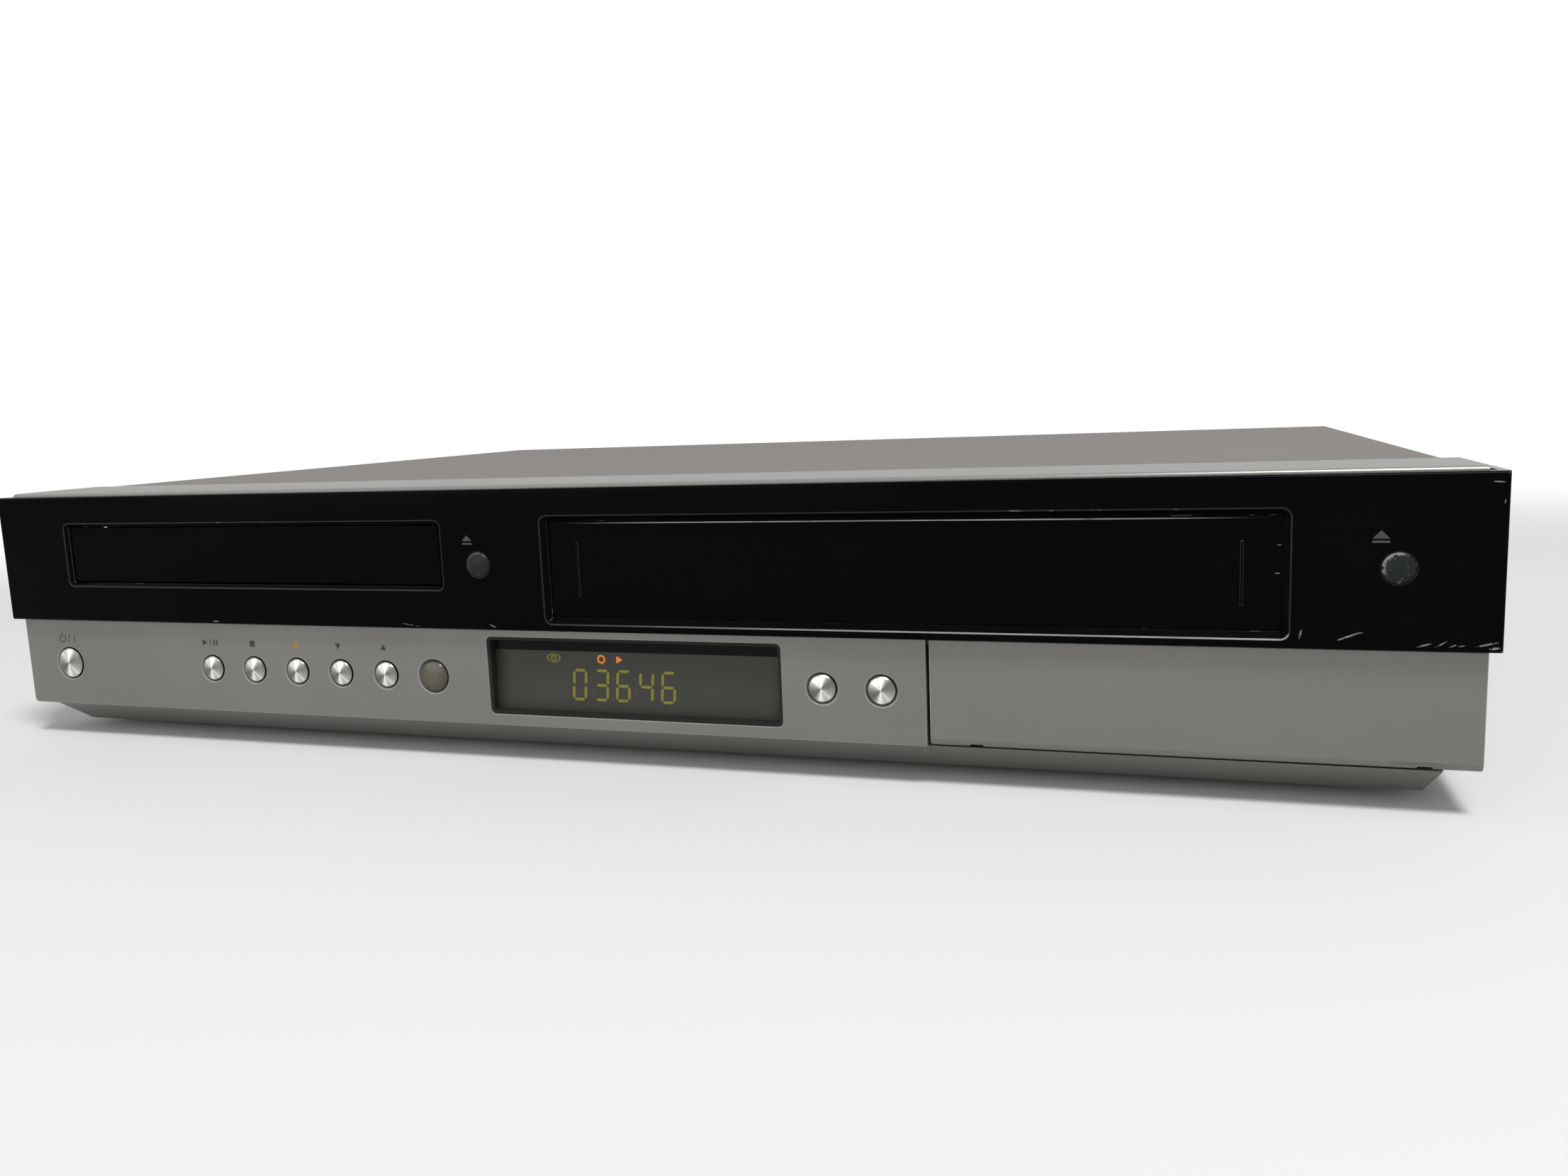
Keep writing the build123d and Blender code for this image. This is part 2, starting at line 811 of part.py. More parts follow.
# ---- steel top cover ----
with BuildPart() as top_cover:
    with BuildSketch(front_plane(cover_start)):
        opening((-cover_half, cover_half), (cover_low_z - 10, cover_top_z), cover_bend_r, Mode.ADD)
        inner = cover_half - cover_t
        opening((-inner, inner), (cover_low_z - 12, cover_top_z - cover_t), cover_bend_r - cover_t)
        opening((-case_width, case_width), (cover_low_z - 20, cover_low_z))
    extrude(amount=cover_start - case_depth)
    for depth in side_screw_depths:
        rod_x((-case_width, case_width), depth, side_screw_z, case_screw_r + finger_gap, Mode.SUBTRACT)
save(top_cover, "top_cover")

# ---- bottom chassis: floor, low side flanges, standoffs ----
power_rows = (power_start + standoff_inset, power_back - standoff_inset)
power_columns = (power_span[0] + standoff_inset, power_span[1] - standoff_rear_inset)
main_front_row = main_board_start + main_standoff_inset
main_left_column = main_board_span[0] + standoff_inset
main_standoffs = [
    (main_left_column, main_front_row),
    (main_wing_x - standoff_inset, main_front_row),
    (main_left_column, main_wing_back - main_standoff_inset),
    (main_tail_x + standoff_tail_inset, tail_middle),
]
main_standoffs += [(x, case_depth - main_rear_inset) for x in main_rear_columns]
power_standoffs = [(x, depth) for x in power_columns for depth in power_rows]
deck_feet = [(deck_x + side * deck_leg_x, depth) for side in (-1, 1) for depth in deck_leg_depths]
with BuildPart() as bottom_chassis:
    floor_back = case_depth - rear_panel_t
    slab((-chassis_half, chassis_half), (chassis_corner_start, floor_back), (chassis_z, floor_z))
    slab((-skirt_low_half, skirt_low_half), (chassis_start, chassis_corner_start), (chassis_z, floor_z))
    for side in (-1, 1):
        span = tuple(sorted((side * chassis_half, side * (chassis_half - steel_t))))
        slab(span, (cover_start + 1, floor_back), (floor_z, flange_z))
    for x, depth in main_standoffs + power_standoffs:
        rod_z(x, depth, (floor_z, main_board_z), standoff_r)
    for depth in side_screw_depths:
        rod_x((-case_width, case_width), depth, side_screw_z, case_screw_r + running, Mode.SUBTRACT)
save(bottom_chassis, "bottom_chassis")

# ---- feet ----
with BuildPart() as feet:
    with BuildSketch(Plane.XY):
        with Locations(*[(side * foot_x, behind(d)) for side in (-1, 1) for d in foot_depths]):
            Circle(foot_r)
    extrude(amount=chassis_z)
    chamfer(feet.faces().group_by(Axis.Z)[0].edges(), foot_taper)
save(feet, "feet")

# ---- rear panel ----
with BuildPart() as rear_panel:
    with BuildSketch(front_plane(case_depth)):
        rear_span = (-chassis_half, chassis_half)
        rear_top = cover_top_z - cover_t - seat_gap
        opening(rear_span, (rear_panel_low_z, rear_top), cover_bend_r, Mode.ADD)
        for x in scart_x:
            opening((x - scart_w / 2 - 0.3, x + scart_w / 2 + 0.3), (scart_z - 7.8, scart_z + 7.8))
        for x in phono_x:
            for z in phono_z:
                with Locations((x, z)):
                    Circle(phono_r + edge_gap, mode=Mode.SUBTRACT)
        for z in tuner_z:
            with Locations((tuner_x, z)):
                Circle(aerial_r + edge_gap, mode=Mode.SUBTRACT)
        opening((inlet_x - 11.3, inlet_x + 11.3), (inlet_z - 7.3, inlet_z + 7.3))
        with Locations((fan_x, fan_z)):
            with PolarLocations(13.0, 8):
                SlotOverall(9.0, 3.4, mode=Mode.SUBTRACT)
            with PolarLocations(5.5, 4):
                Circle(1.7, mode=Mode.SUBTRACT)
        for x in rear_screw_x:
            with Locations((x, rear_screw_z)):
                Circle(case_screw_r + finger_gap, mode=Mode.SUBTRACT)
    extrude(amount=rear_panel_t)
save(rear_panel, "rear_panel")


def screw(direction, x, depth, z):
    """A pan-head screw whose head sits at a place, its shank running along a direction."""
    seat = Plane(origin=(x, behind(depth), z), z_dir=direction)
    with BuildSketch(seat) as shank:
        Circle(case_screw_r)
    extrude(shank.sketch, amount=case_screw_length)
    with BuildSketch(seat) as head:
        Circle(case_screw_head_r)
    extrude(head.sketch, amount=-case_screw_head_t, taper=20)


# ---- case screws ----
with BuildPart() as case_screws:
    for side in (-1, 1):
        for depth in side_screw_depths:
            screw((-side, 0, 0), side * cover_half, depth, side_screw_z)
    for x in rear_screw_x:
        screw((0, -1, 0), x, case_depth, rear_screw_z)
save(case_screws, "case_screws")

# ==== disc drive ====
def at_tray(low, high):
    """A pair of X places from a pair of offsets from the tray's middle."""
    return (tray_x + low, tray_x + high)


def both_sides(near, far):
    """The two spans that lie between two distances each side of a middle."""
    return ((-far, -near), (near, far))


# ---- drive frame: floor, walls, tray guides, legs down to the chassis ----
with BuildPart() as drive_frame:
    floor_top = drive_floor_z + drive_floor_t
    slab(at_tray(-drive_half, drive_half), (drive_start, drive_back), (drive_floor_z, floor_top))
    slab(
        at_tray(-drive_opening_half, drive_opening_half),
        (drive_opening_start, drive_opening_back),
        (drive_floor_z, floor_top),
        Mode.SUBTRACT,
    )
    inner_wall = drive_half - drive_wall_t
    for span in both_sides(inner_wall, drive_half):
        slab(at_tray(*span), (drive_start, drive_back), (drive_floor_z, drive_wall_top_z))
    guide_low = rail_low_z - seat_gap
    guide_high = rail_low_z + rail_t + seat_gap
    for span in both_sides(tray_half + guide_gap, inner_wall):
        for guide_z in ((guide_low - drive_guide_t, guide_low), (guide_high, guide_high + drive_lip_t)):
            slab(at_tray(*span), (drive_start + drive_guide_start, drive_back), guide_z)
    back_wall = (drive_back - drive_wall_t, drive_back)
    slab(at_tray(-inner_wall, inner_wall), back_wall, (floor_top, drive_back_wall_z))
    for span in both_sides(drive_half, drive_half + drive_leg_w):
        for depth in drive_leg_depths:
            half = drive_leg_w / 2
            slab(at_tray(*span), (depth - half, depth + half), (floor_z, drive_floor_z + drive_leg_rise))
    gear_x = tray_x + rack_offset - gear_module * gear_teeth / 2
    rod_z(gear_x, gear_depth, (floor_top, rack_low_z + 1.8), gear_pin_r)
    rod_z(motor_x, motor_depth, (drive_floor_z - 1, floor_top + 1), motor_shaft_r + edge_gap, Mode.SUBTRACT)
save(drive_frame, "drive_frame")

# ---- bridge over the tray with the clamper's hole ----
with BuildPart() as drive_bridge:
    bridge_z = (drive_wall_top_z, drive_wall_top_z + bridge_t)
    span = (disc_depth - bridge_half_depth, disc_depth + bridge_half_depth)
    slab(at_tray(-drive_half, drive_half), span, bridge_z)
    rod_z(tray_x, disc_depth, bridge_z, clamper_neck_r + 1, Mode.SUBTRACT)
    for side in both_sides(*bridge_window):
        window = (disc_depth - bridge_window_half, disc_depth + bridge_window_half)
        slab(at_tray(*side), window, bridge_z, Mode.SUBTRACT)
save(drive_bridge, "drive_bridge")

# ---- clamper: hangs in the bridge by its flange ----
with BuildPart() as disc_clamper:
    pad_top = clamper_low_z + clamper_pad_t
    flange_low = drive_wall_top_z + bridge_t + seat_gap
    rod_z(tray_x, disc_depth, (clamper_low_z, pad_top), clamper_r)
    rod_z(tray_x, disc_depth, (pad_top, flange_low), clamper_neck_r)
    rod_z(tray_x, disc_depth, (flange_low, flange_low + clamper_flange_t), clamper_flange_r)
save(disc_clamper, "disc_clamper")

# ---- traverse: the plate that carries the spindle motor and the pickup's rods ----
traverse_z = (drive_floor_z + drive_floor_t, drive_floor_z + drive_floor_t + traverse_t)
with BuildPart() as traverse:
    slab(at_tray(-traverse_half, traverse_half), (traverse_start, traverse_back), traverse_z)
    slab(
        at_tray(-sled_opening_half, sled_opening_half),
        (sled_opening_start, sled_opening_back),
        traverse_z,
        Mode.SUBTRACT,
    )
    rod_z(tray_x, disc_depth, (traverse_z[1], turntable_low_z - edge_gap), 13.0)
    rod_z(tray_x, disc_depth, (traverse_z[1], turntable_top_z), spindle_r)
    for side in both_sides(rod_offset - 2.4, rod_offset + 2.4):
        for depth in (sled_opening_start - 2, sled_opening_back):
            slab(at_tray(*side), (depth, depth + 2), (traverse_z[1], rod_z_place + 2))
    for depth in (sled_opening_start - 4, traverse_back - 2.5):
        block = (screw_offset - 3, screw_offset + 3)
        slab(at_tray(*block), (depth, depth + 2.5), (screw_z - 2, traverse_z[0]))
    through = (sled_opening_start - 6, sled_opening_back + 5)
    rod_y(tray_x + screw_offset, through, screw_z, screw_r + running, Mode.SUBTRACT)
save(traverse, "traverse")

# ---- turntable on the spindle ----
with BuildPart() as turntable:
    rod_z(tray_x, disc_depth, (turntable_low_z, turntable_top_z), turntable_r)
    rod_z(tray_x, disc_depth, (turntable_top_z, cone_top_z), cone_r)
    chamfer(turntable.faces().sort_by(Axis.Z)[-1].edges(), 1.2)
    bore_z = (turntable_low_z, turntable_top_z + finger_gap)
    rod_z(tray_x, disc_depth, bore_z, spindle_r + running, Mode.SUBTRACT)
save(turntable, "turntable")

# ---- pickup sled on its rods ----
with BuildPart() as pickup_sled:
    span = (sled_start, sled_start + sled_length)
    low = traverse_z[1] + edge_gap
    slab(at_tray(-20.0, 20.0), span, (low, tray_low_z + 1.2))
    slab(at_tray(-rod_offset - 3, rod_offset + 3), span, (low, tray_low_z - 0.4))
    slab(at_tray(screw_offset - 3, screw_offset + 3), span, (screw_z + screw_r + edge_gap, low))
    rod_z(tray_x, sled_start + 7, (tray_low_z + 1.2, tray_low_z + 1.8), 3.5)
    for side in (-1, 1):
        rod_y(tray_x + side * rod_offset, span, rod_z_place, rod_r + running, Mode.SUBTRACT)
save(pickup_sled, "pickup_sled")

# ---- sled rods ----
with BuildPart() as sled_rods:
    for side in (-1, 1):
        rod_y(tray_x + side * rod_offset, (sled_opening_start, sled_opening_back), rod_z_place, rod_r)
save(sled_rods, "sled_rods")

# ---- lead screw that drives the sled ----
with BuildPart() as lead_screw:
    rod_y(
        tray_x + screw_offset,
        (sled_opening_start - 4, traverse_back - finger_gap),
        screw_z,
        screw_r,
    )
save(lead_screw, "lead_screw")


def tooth_flanks(pitch_r, half_pitch_angle, root_r, tip_r):
    """The half angles of a gear tooth at its root and at its tip."""
    lean = math.tan(math.radians(pressure_angle))
    root = half_pitch_angle + lean * (pitch_r - root_r) / pitch_r
    tip = half_pitch_angle - lean * (tip_r - pitch_r) / pitch_r
    return root, tip


# ---- tray gear: meshes with the rack under the tray ----
with BuildPart() as tray_gear:
    pitch_r = gear_module * gear_teeth / 2
    root_r = pitch_r - 1.2 * gear_module
    tip_r = pitch_r + 0.85 * gear_module
    half_tooth = gear_thinning * math.pi / (2 * gear_teeth)
    root_angle, tip_angle = tooth_flanks(pitch_r, half_tooth, root_r, tip_r)
    outline = []
    for tooth in range(gear_teeth):
        middle = 2 * math.pi * tooth / gear_teeth
        corners = ((root_r, -root_angle), (tip_r, -tip_angle), (tip_r, tip_angle), (root_r, root_angle))
        for radius, angle in corners:
            outline.append((radius * math.cos(middle + angle), radius * math.sin(middle + angle)))
    with BuildSketch(Plane(origin=(gear_x, behind(gear_depth), rack_low_z - 0.2))):
        with BuildLine():
            Polyline(*outline, close=True)
        make_face()
    extrude(amount=tray_low_z - rack_low_z - 0.1)
    rod_z(gear_x, gear_depth, (floor_top + edge_gap, rack_low_z - 0.2), 5.0)
    rod_z(gear_x, gear_depth, (floor_top, tray_low_z), gear_pin_r + running, Mode.SUBTRACT)
save(tray_gear, "tray_gear")

# ---- disc tray: recesses for two disc sizes, a slot for the turntable, a rack below ----
with BuildPart() as disc_tray:
    tray_end = tray_start + tray_length
    deck_top = tray_low_z + tray_floor_t
    slab(at_tray(-tray_half, tray_half), (tray_start, tray_end), (tray_low_z, deck_top + 2))
    rod_z(tray_x, disc_depth, (deck_top, deck_top + 3), disc_recess_r, Mode.SUBTRACT)
    rod_z(tray_x, disc_depth, (deck_top - small_recess_drop, deck_top), small_recess_r, Mode.SUBTRACT)
    slot_z = (tray_low_z - 1, deck_top + 3)
    rod_z(tray_x, disc_depth, slot_z, tray_slot_half, Mode.SUBTRACT)
    slab(at_tray(-tray_slot_half, tray_slot_half), (disc_depth, tray_end + 1), slot_z, Mode.SUBTRACT)
    for span in both_sides(tray_half - tray_wall_t, tray_half):
        slab(at_tray(*span), (tray_start, tray_end), (tray_low_z, tray_wall_z))
    for span in both_sides(tray_half, tray_half + tray_rail_w):
        slab(at_tray(*span), (tray_start + 5, tray_end), (rail_low_z, rail_low_z + rail_t))
    slab(at_tray(-tray_half + 4, tray_half - 4), (tray_start, tray_start + 2), (53.0, 66.0))
    pitch = math.pi * gear_module
    rack_x = tray_x + rack_offset
    half_tooth = gear_thinning * pitch / 4
    lean = math.tan(math.radians(pressure_angle))
    teeth = int((tray_length - 12) / pitch)
    first = gear_depth - 2.5 * pitch
    outline = [(rack_x + 4, behind(first - pitch / 2)), (rack_x + 1.2, behind(first - pitch / 2))]
    for tooth in range(teeth):
        middle = first + tooth * pitch
        for height, side in ((-1.2, -1), (0.85, -1), (0.85, 1), (-1.2, 1)):
            width = half_tooth - height * gear_module * lean
            outline.append((rack_x - height * gear_module, behind(middle + side * width)))
    last = first + (teeth - 0.5) * pitch
    outline += [(rack_x + 1.2, behind(last)), (rack_x + 4, behind(last))]
    with BuildSketch(Plane.XY.offset(rack_low_z)):
        with BuildLine():
            Polyline(*outline, close=True)
        make_face()
    extrude(amount=tray_low_z - rack_low_z)
save(disc_tray, "disc_tray")

# ==== cassette deck ====
def at_deck(low, high):
    """A pair of X places from a pair of offsets from the cassette's middle."""
    return (deck_x + low, deck_x + high)


def long_slot(x, depth, z, half, mode=Mode.SUBTRACT):
    """A slot through the X direction between two depths, with half-round ends."""
    slab(x, depth, (z - half, z + half), mode)
    for end in depth:
        rod_x(x, end, z, half, mode)


deck_top = deck_z + deck_plate_t
carriage_pin_depths = (carriage_start + 6, carriage_start + carriage_length - 6)
holder_pin_depths = (carriage_start + 14, carriage_start + carriage_length - 14)
guide_angle = math.degrees(math.acos(guide_lean / guide_travel))
guide_run = guide_travel * math.sin(math.radians(guide_angle))

# ---- deck base plate with bearings, reel pins and slots for the tape guides ----
with BuildPart() as deck_base:
    slab(at_deck(-deck_half, deck_half), (deck_start, deck_back), (deck_z, deck_top))
    for x, depth in deck_feet:
        rod_z(x, depth, (floor_z, deck_z), deck_leg_r)
    for side in (-1, 1):
        rod_z(deck_x + side * reel_offset, reel_depth, (deck_top, reel_top_z + 0.5), reel_pin_r)
        start = (deck_x + side * guide_offset, behind(guide_depth))
        middle = (start[0] + side * guide_lean / 2, start[1] + guide_run / 2)
        with BuildSketch(Plane.XY.offset(deck_z)) as guide_slot:
            with Locations(Location((*middle, 0), (0, 0, 90 - side * (90 - guide_angle)))):
                SlotCenterToCenter(guide_travel + guide_block, guide_slot_w)
        extrude(guide_slot.sketch, amount=deck_plate_t, mode=Mode.SUBTRACT)
    capstan_x = deck_x + capstan_offset
    rod_z(capstan_x, capstan_depth, (deck_z - 2, deck_top + 4), 5.0)
    rod_z(capstan_x, capstan_depth, (deck_z - 3, deck_top + 5), capstan_r + running, Mode.SUBTRACT)
    pivot_x = deck_x + pinch_pivot_offset
    rod_z(pivot_x, pinch_pivot_depth, (deck_top, arm_top_z + 0.5), post_r)
save(deck_base, "deck_base")

# ---- side rails that carry the cassette carriage ----
with BuildPart() as deck_side_rails:
    for side in both_sides(side_rail_half, side_rail_half + side_rail_t):
        slab(at_deck(*side), (deck_start, side_rail_back), (deck_top, side_rail_top_z))
        slot_ends = (carriage_pin_depths[0], carriage_pin_depths[1] + holder_in)
        long_slot(at_deck(side[0] - 1, side[1] + 1), slot_ends, carriage_pin_z, carriage_pin_r + seat_gap)
        slab(at_deck(side[0] - 1, side[1] + 1), (60.0, 170.0), (deck_top + 8, 56.0), Mode.SUBTRACT)
    outer = side_rail_half + side_rail_t
    slab(
        at_deck(-outer, outer),
        (side_rail_back - 9, side_rail_back),
        (side_rail_top_z - carriage_bar_t, side_rail_top_z),
    )
save(deck_side_rails, "deck_side_rails")

# ---- carriage: an arch that slides in, with upright slots for the holder's pins ----
with BuildPart() as holder_carriage:
    span = (carriage_start, carriage_start + carriage_length)
    bar_z = (carriage_bar_z, carriage_bar_z + carriage_bar_t)
    outer = carriage_half + carriage_t
    slab(at_deck(-outer, outer), (span[0] + 18, span[1] - 18), bar_z)
    for side in both_sides(carriage_half, outer):
        slab(at_deck(*side), span, (carriage_low_z, bar_z[1]))
        for depth in holder_pin_depths:
            slot_half = holder_pin_r + seat_gap
            slab(
                at_deck(side[0] - 1, side[1] + 1),
                (depth - slot_half, depth + slot_half),
                (holder_pin_z - holder_down - slot_half, holder_pin_z + slot_half),
                Mode.SUBTRACT,
            )
    for side in both_sides(outer, side_rail_half + side_rail_t):
        for depth in carriage_pin_depths:
            rod_x(at_deck(*side), depth, carriage_pin_z, carriage_pin_r)
save(holder_carriage, "holder_carriage")

# ---- cassette holder: side walls, ledges, front lip and roof ----
with BuildPart() as cassette_holder:
    span = (holder_start, holder_start + holder_length)
    for side in both_sides(holder_half - holder_t, holder_half):
        slab(at_deck(*side), span, (holder_low_z, holder_high_z))
    for side in both_sides(holder_half - holder_ledge_w, holder_half):
        slab(at_deck(*side), span, (holder_low_z, holder_low_z + holder_t))
    slab(
        at_deck(-holder_half, holder_half),
        (span[0], span[0] + 8),
        (holder_low_z, holder_low_z + holder_t),
    )
    roof_z = (holder_high_z - holder_t, holder_high_z)
    slab(at_deck(-holder_half, holder_half), (holder_roof_start, span[1]), roof_z)
    for side in both_sides(*holder_roof_window):
        slab(at_deck(*side), (holder_roof_start + 12, span[1] - 22), roof_z, Mode.SUBTRACT)
    for side in both_sides(*holder_stop_span):
        slab(at_deck(*side), (span[1] - holder_t, span[1]), (holder_high_z - 9, holder_high_z))
    for side in both_sides(holder_half, carriage_half + carriage_t - finger_gap):
        for depth in holder_pin_depths:
            rod_x(at_deck(*side), depth, holder_pin_z, holder_pin_r)
save(cassette_holder, "cassette_holder")


def reel_table(name, side):
    """A reel table: a flanged hub with three splines, turning on its pin."""
    x = deck_x + side * reel_offset
    with BuildPart() as reel:
        rod_z(x, reel_depth, (deck_top + edge_gap, deck_top + reel_flange_t), reel_r)
        rod_z(x, reel_depth, (deck_top + reel_flange_t, reel_top_z), reel_hub_r)
        with BuildSketch(Plane(origin=(x, behind(reel_depth), deck_top + reel_flange_t))) as splines:
            with PolarLocations(reel_hub_r, 3):
                Rectangle(3.0, 1.6)
        extrude(splines.sketch, amount=reel_top_z - deck_top - 6)
        rod_z(x, reel_depth, (deck_top, reel_top_z + 1), reel_pin_r + running, Mode.SUBTRACT)
    save(reel, name)


reel_table("supply_reel", -1)
reel_table("take_up_reel", 1)

# ---- drum: fixed lower half with its shaft, turning upper half ----
tilt = math.radians(drum_tilt)
drum_axis = (0, math.sin(tilt), math.cos(tilt))
drum_plane = Plane(
    origin=(deck_x, behind(drum_depth), drum_seat_z), x_dir=(1, 0, 0), z_dir=drum_axis
)
with BuildPart() as lower_drum:
    rod_z(deck_x, drum_depth, (deck_top, drum_seat_z + 4), 22.0)
    with BuildSketch(drum_plane) as disc:
        Circle(drum_r)
    extrude(disc.sketch, amount=drum_lower_h)
    with BuildSketch(drum_plane) as shaft:
        Circle(drum_shaft_r)
    extrude(shaft.sketch, amount=drum_lower_h + drum_upper_h + 3)
    slab(at_deck(-40.0, 40.0), (190.0, 280.0), (deck_z - 8, deck_top), Mode.SUBTRACT)
save(lower_drum, "lower_drum")

with BuildPart() as head_drum:
    upper_start = drum_plane.offset(drum_lower_h + edge_gap)
    with BuildSketch(upper_start) as disc:
        Circle(drum_r)
        Circle(drum_shaft_r + running, mode=Mode.SUBTRACT)
    extrude(disc.sketch, amount=drum_upper_h - 3)
    with BuildSketch(upper_start.offset(drum_upper_h - 3)) as cap:
        Circle(drum_r - 9)
        Circle(drum_shaft_r + running, mode=Mode.SUBTRACT)
    extrude(cap.sketch, amount=3 - edge_gap)
    with BuildSketch(upper_start) as head_slots:
        with PolarLocations(drum_r, 2):
            Rectangle(2.0, 3.0)
    extrude(head_slots.sketch, amount=2.4, mode=Mode.SUBTRACT)
save(head_drum, "head_drum")

# ---- capstan with its flywheel below the base ----
with BuildPart() as capstan:
    rod_z(capstan_x, capstan_depth, (deck_z - 9, tape_top_z), capstan_r)
    rod_z(capstan_x, capstan_depth, (deck_z - 8, deck_z - flywheel_drop), flywheel_r)
save(capstan, "capstan")

# ---- pinch arm and its roller, at rest swung away from the capstan ----
rest = math.radians(pinch_rest_angle)
roller_x = pivot_x + pinch_arm_length * math.cos(rest)
roller_depth = pinch_pivot_depth + pinch_arm_length * math.sin(rest)
with BuildPart() as pinch_arm:
    arm_z = (arm_low_z, arm_top_z)
    middle = (pivot_x + roller_x) / 2, behind((pinch_pivot_depth + roller_depth) / 2)
    with BuildSketch(Plane.XY.offset(arm_low_z)) as arm:
        with Locations(Location((*middle, 0), (0, 0, pinch_rest_angle))):
            SlotCenterToCenter(pinch_arm_length, 7.0)
    extrude(arm.sketch, amount=arm_top_z - arm_low_z)
    rod_z(pivot_x, pinch_pivot_depth, (deck_top + seat_gap, arm_low_z), 3.5)
    rod_z(pivot_x, pinch_pivot_depth, (deck_top, arm_top_z + 1), post_r + running, Mode.SUBTRACT)
    rod_z(roller_x, roller_depth, (arm_top_z, tape_top_z - 3), pinch_pin_r)
save(pinch_arm, "pinch_arm")

with BuildPart() as pinch_roller:
    roller_z = (arm_top_z + edge_gap, tape_top_z - 5)
    rod_z(roller_x, roller_depth, roller_z, pinch_roller_r)
    rod_z(roller_x, roller_depth, (arm_top_z, tape_top_z), pinch_pin_r + running, Mode.SUBTRACT)
save(pinch_roller, "pinch_roller")


def tape_guide(name, side):
    """A tape guide: a sliding block with a roller post, held to its slot by a foot below."""
    x = deck_x + side * guide_offset
    turn = 90 - side * (90 - guide_angle)
    with BuildPart() as guide:
        for z, length, width in (
            ((deck_top + seat_gap, deck_top + 5), guide_block, 11.0),
            ((deck_z - 1.6, deck_top + seat_gap), guide_block - 2, guide_slot_w - 0.4),
            ((deck_z - 2.6, deck_z - seat_gap), guide_block - 2, 9.0),
        ):
            with BuildSketch(Plane.XY.offset(z[0])) as layer:
                with Locations(Location((x, behind(guide_depth), 0), (0, 0, turn))):
                    Rectangle(length, width)
            extrude(layer.sketch, amount=z[1] - z[0])
        rod_z(x, guide_depth, (deck_top + 5, tape_top_z - 2), post_r)
        rod_z(x, guide_depth, (deck_top + 9, tape_top_z - 5), 3.2)
        rod_z(x, guide_depth, (tape_top_z - 5, tape_top_z - 4), 4.4)
    save(guide, name)


tape_guide("supply_guide", -1)
tape_guide("take_up_guide", 1)

# ---- fixed posts ----
with BuildPart() as tape_posts:
    for offset, depth in tape_post_places:
        rod_z(deck_x + offset, depth, (deck_top, tape_top_z - 2), post_r)
        rod_z(deck_x + offset, depth, (deck_top, deck_top + 8), post_r + 1.6)
        rod_z(deck_x + offset, depth, (tape_top_z - 4, tape_top_z - 3), post_r + 1.6)
save(tape_posts, "tape_posts")

# ---- erase head and sound head on their brackets ----
with BuildPart() as tape_heads:
    for offset, depth in tape_head_places:
        x = deck_x + offset
        slab((x - 6, x + 6), (depth - 4, depth + 4), (deck_top, deck_top + 3))
        slab((x - 4.5, x + 4.5), (depth - 3, depth + 3), (deck_top + 3, tape_top_z - 4))
save(tape_heads, "tape_heads")

# ---- small motors: tray, sled and cassette loading ----
with BuildPart() as small_motors:
    rod_z(motor_x, motor_depth, (drive_floor_z - 14, drive_floor_z), 8.0)
    rod_z(motor_x, motor_depth, (drive_floor_z, floor_top + 3), motor_shaft_r)
    rod_z(motor_x, motor_depth, (floor_top + 0.8, floor_top + 3), 4.0)
    rod_y(tray_x + screw_offset, (traverse_back, traverse_back + 14), screw_z, 5.0)
    loading = deck_x - loading_motor_offset
    cradle = (loading_motor_depths[0] + 4, loading_motor_depths[1] - 4)
    rod_y(loading, loading_motor_depths, deck_top + 9, loading_motor_r)
    slab((loading - 7, loading + 7), cradle, (deck_top, deck_top + 5))
save(small_motors, "small_motors")

# ==== boards and sockets ====
board_top_z = main_board_z + board_t
rear_inner = case_depth - rear_panel_t
main_strip_start = rear_inner - main_strip_w

# ---- main board with its chips, shields and heat sinks ----
with BuildPart() as main_board:
    with BuildSketch(Plane.XY.offset(main_board_z)):
        with BuildLine():
            Polyline(
                (main_board_span[0], behind(main_board_start)),
                (main_wing_x, behind(main_board_start)),
                (main_wing_x, behind(main_wing_back)),
                (main_neck_x, behind(main_wing_back)),
                (main_neck_x, behind(main_strip_start)),
                (main_board_span[1], behind(main_strip_start)),
                (main_board_span[1], behind(rear_inner - seat_gap)),
                (main_tail_x, behind(rear_inner - seat_gap)),
                (main_tail_x, behind(main_wing_back)),
                (main_board_span[0], behind(main_wing_back)),
                close=True,
            )
        make_face()
    extrude(amount=board_t)
    for x, depth, side, height in (*chip_places, tuner_chip):
        half = side / 2
        slab((x - half, x + half), (depth - half, depth + half), (board_top_z, board_top_z + height))
    fin_z = (board_top_z + chip_fin_rise[0], board_top_z + chip_fin_rise[1])
    for n in range(chip_fins):
        x = chip_fin_start_x + chip_fin_pitch * n
        slab((x - chip_fin_t / 2, x + chip_fin_t / 2), chip_fin_span, fin_z)
save(main_board, "main_board")

# ---- power supply board ----
with BuildPart() as power_board:
    slab(power_span, (power_start, power_back), (main_board_z, board_top_z))
save(power_board, "power_board")


def on_power(span, start):
    """A pair of places from a pair of offsets and the place that they are counted from."""
    return (start + span[0], start + span[1])


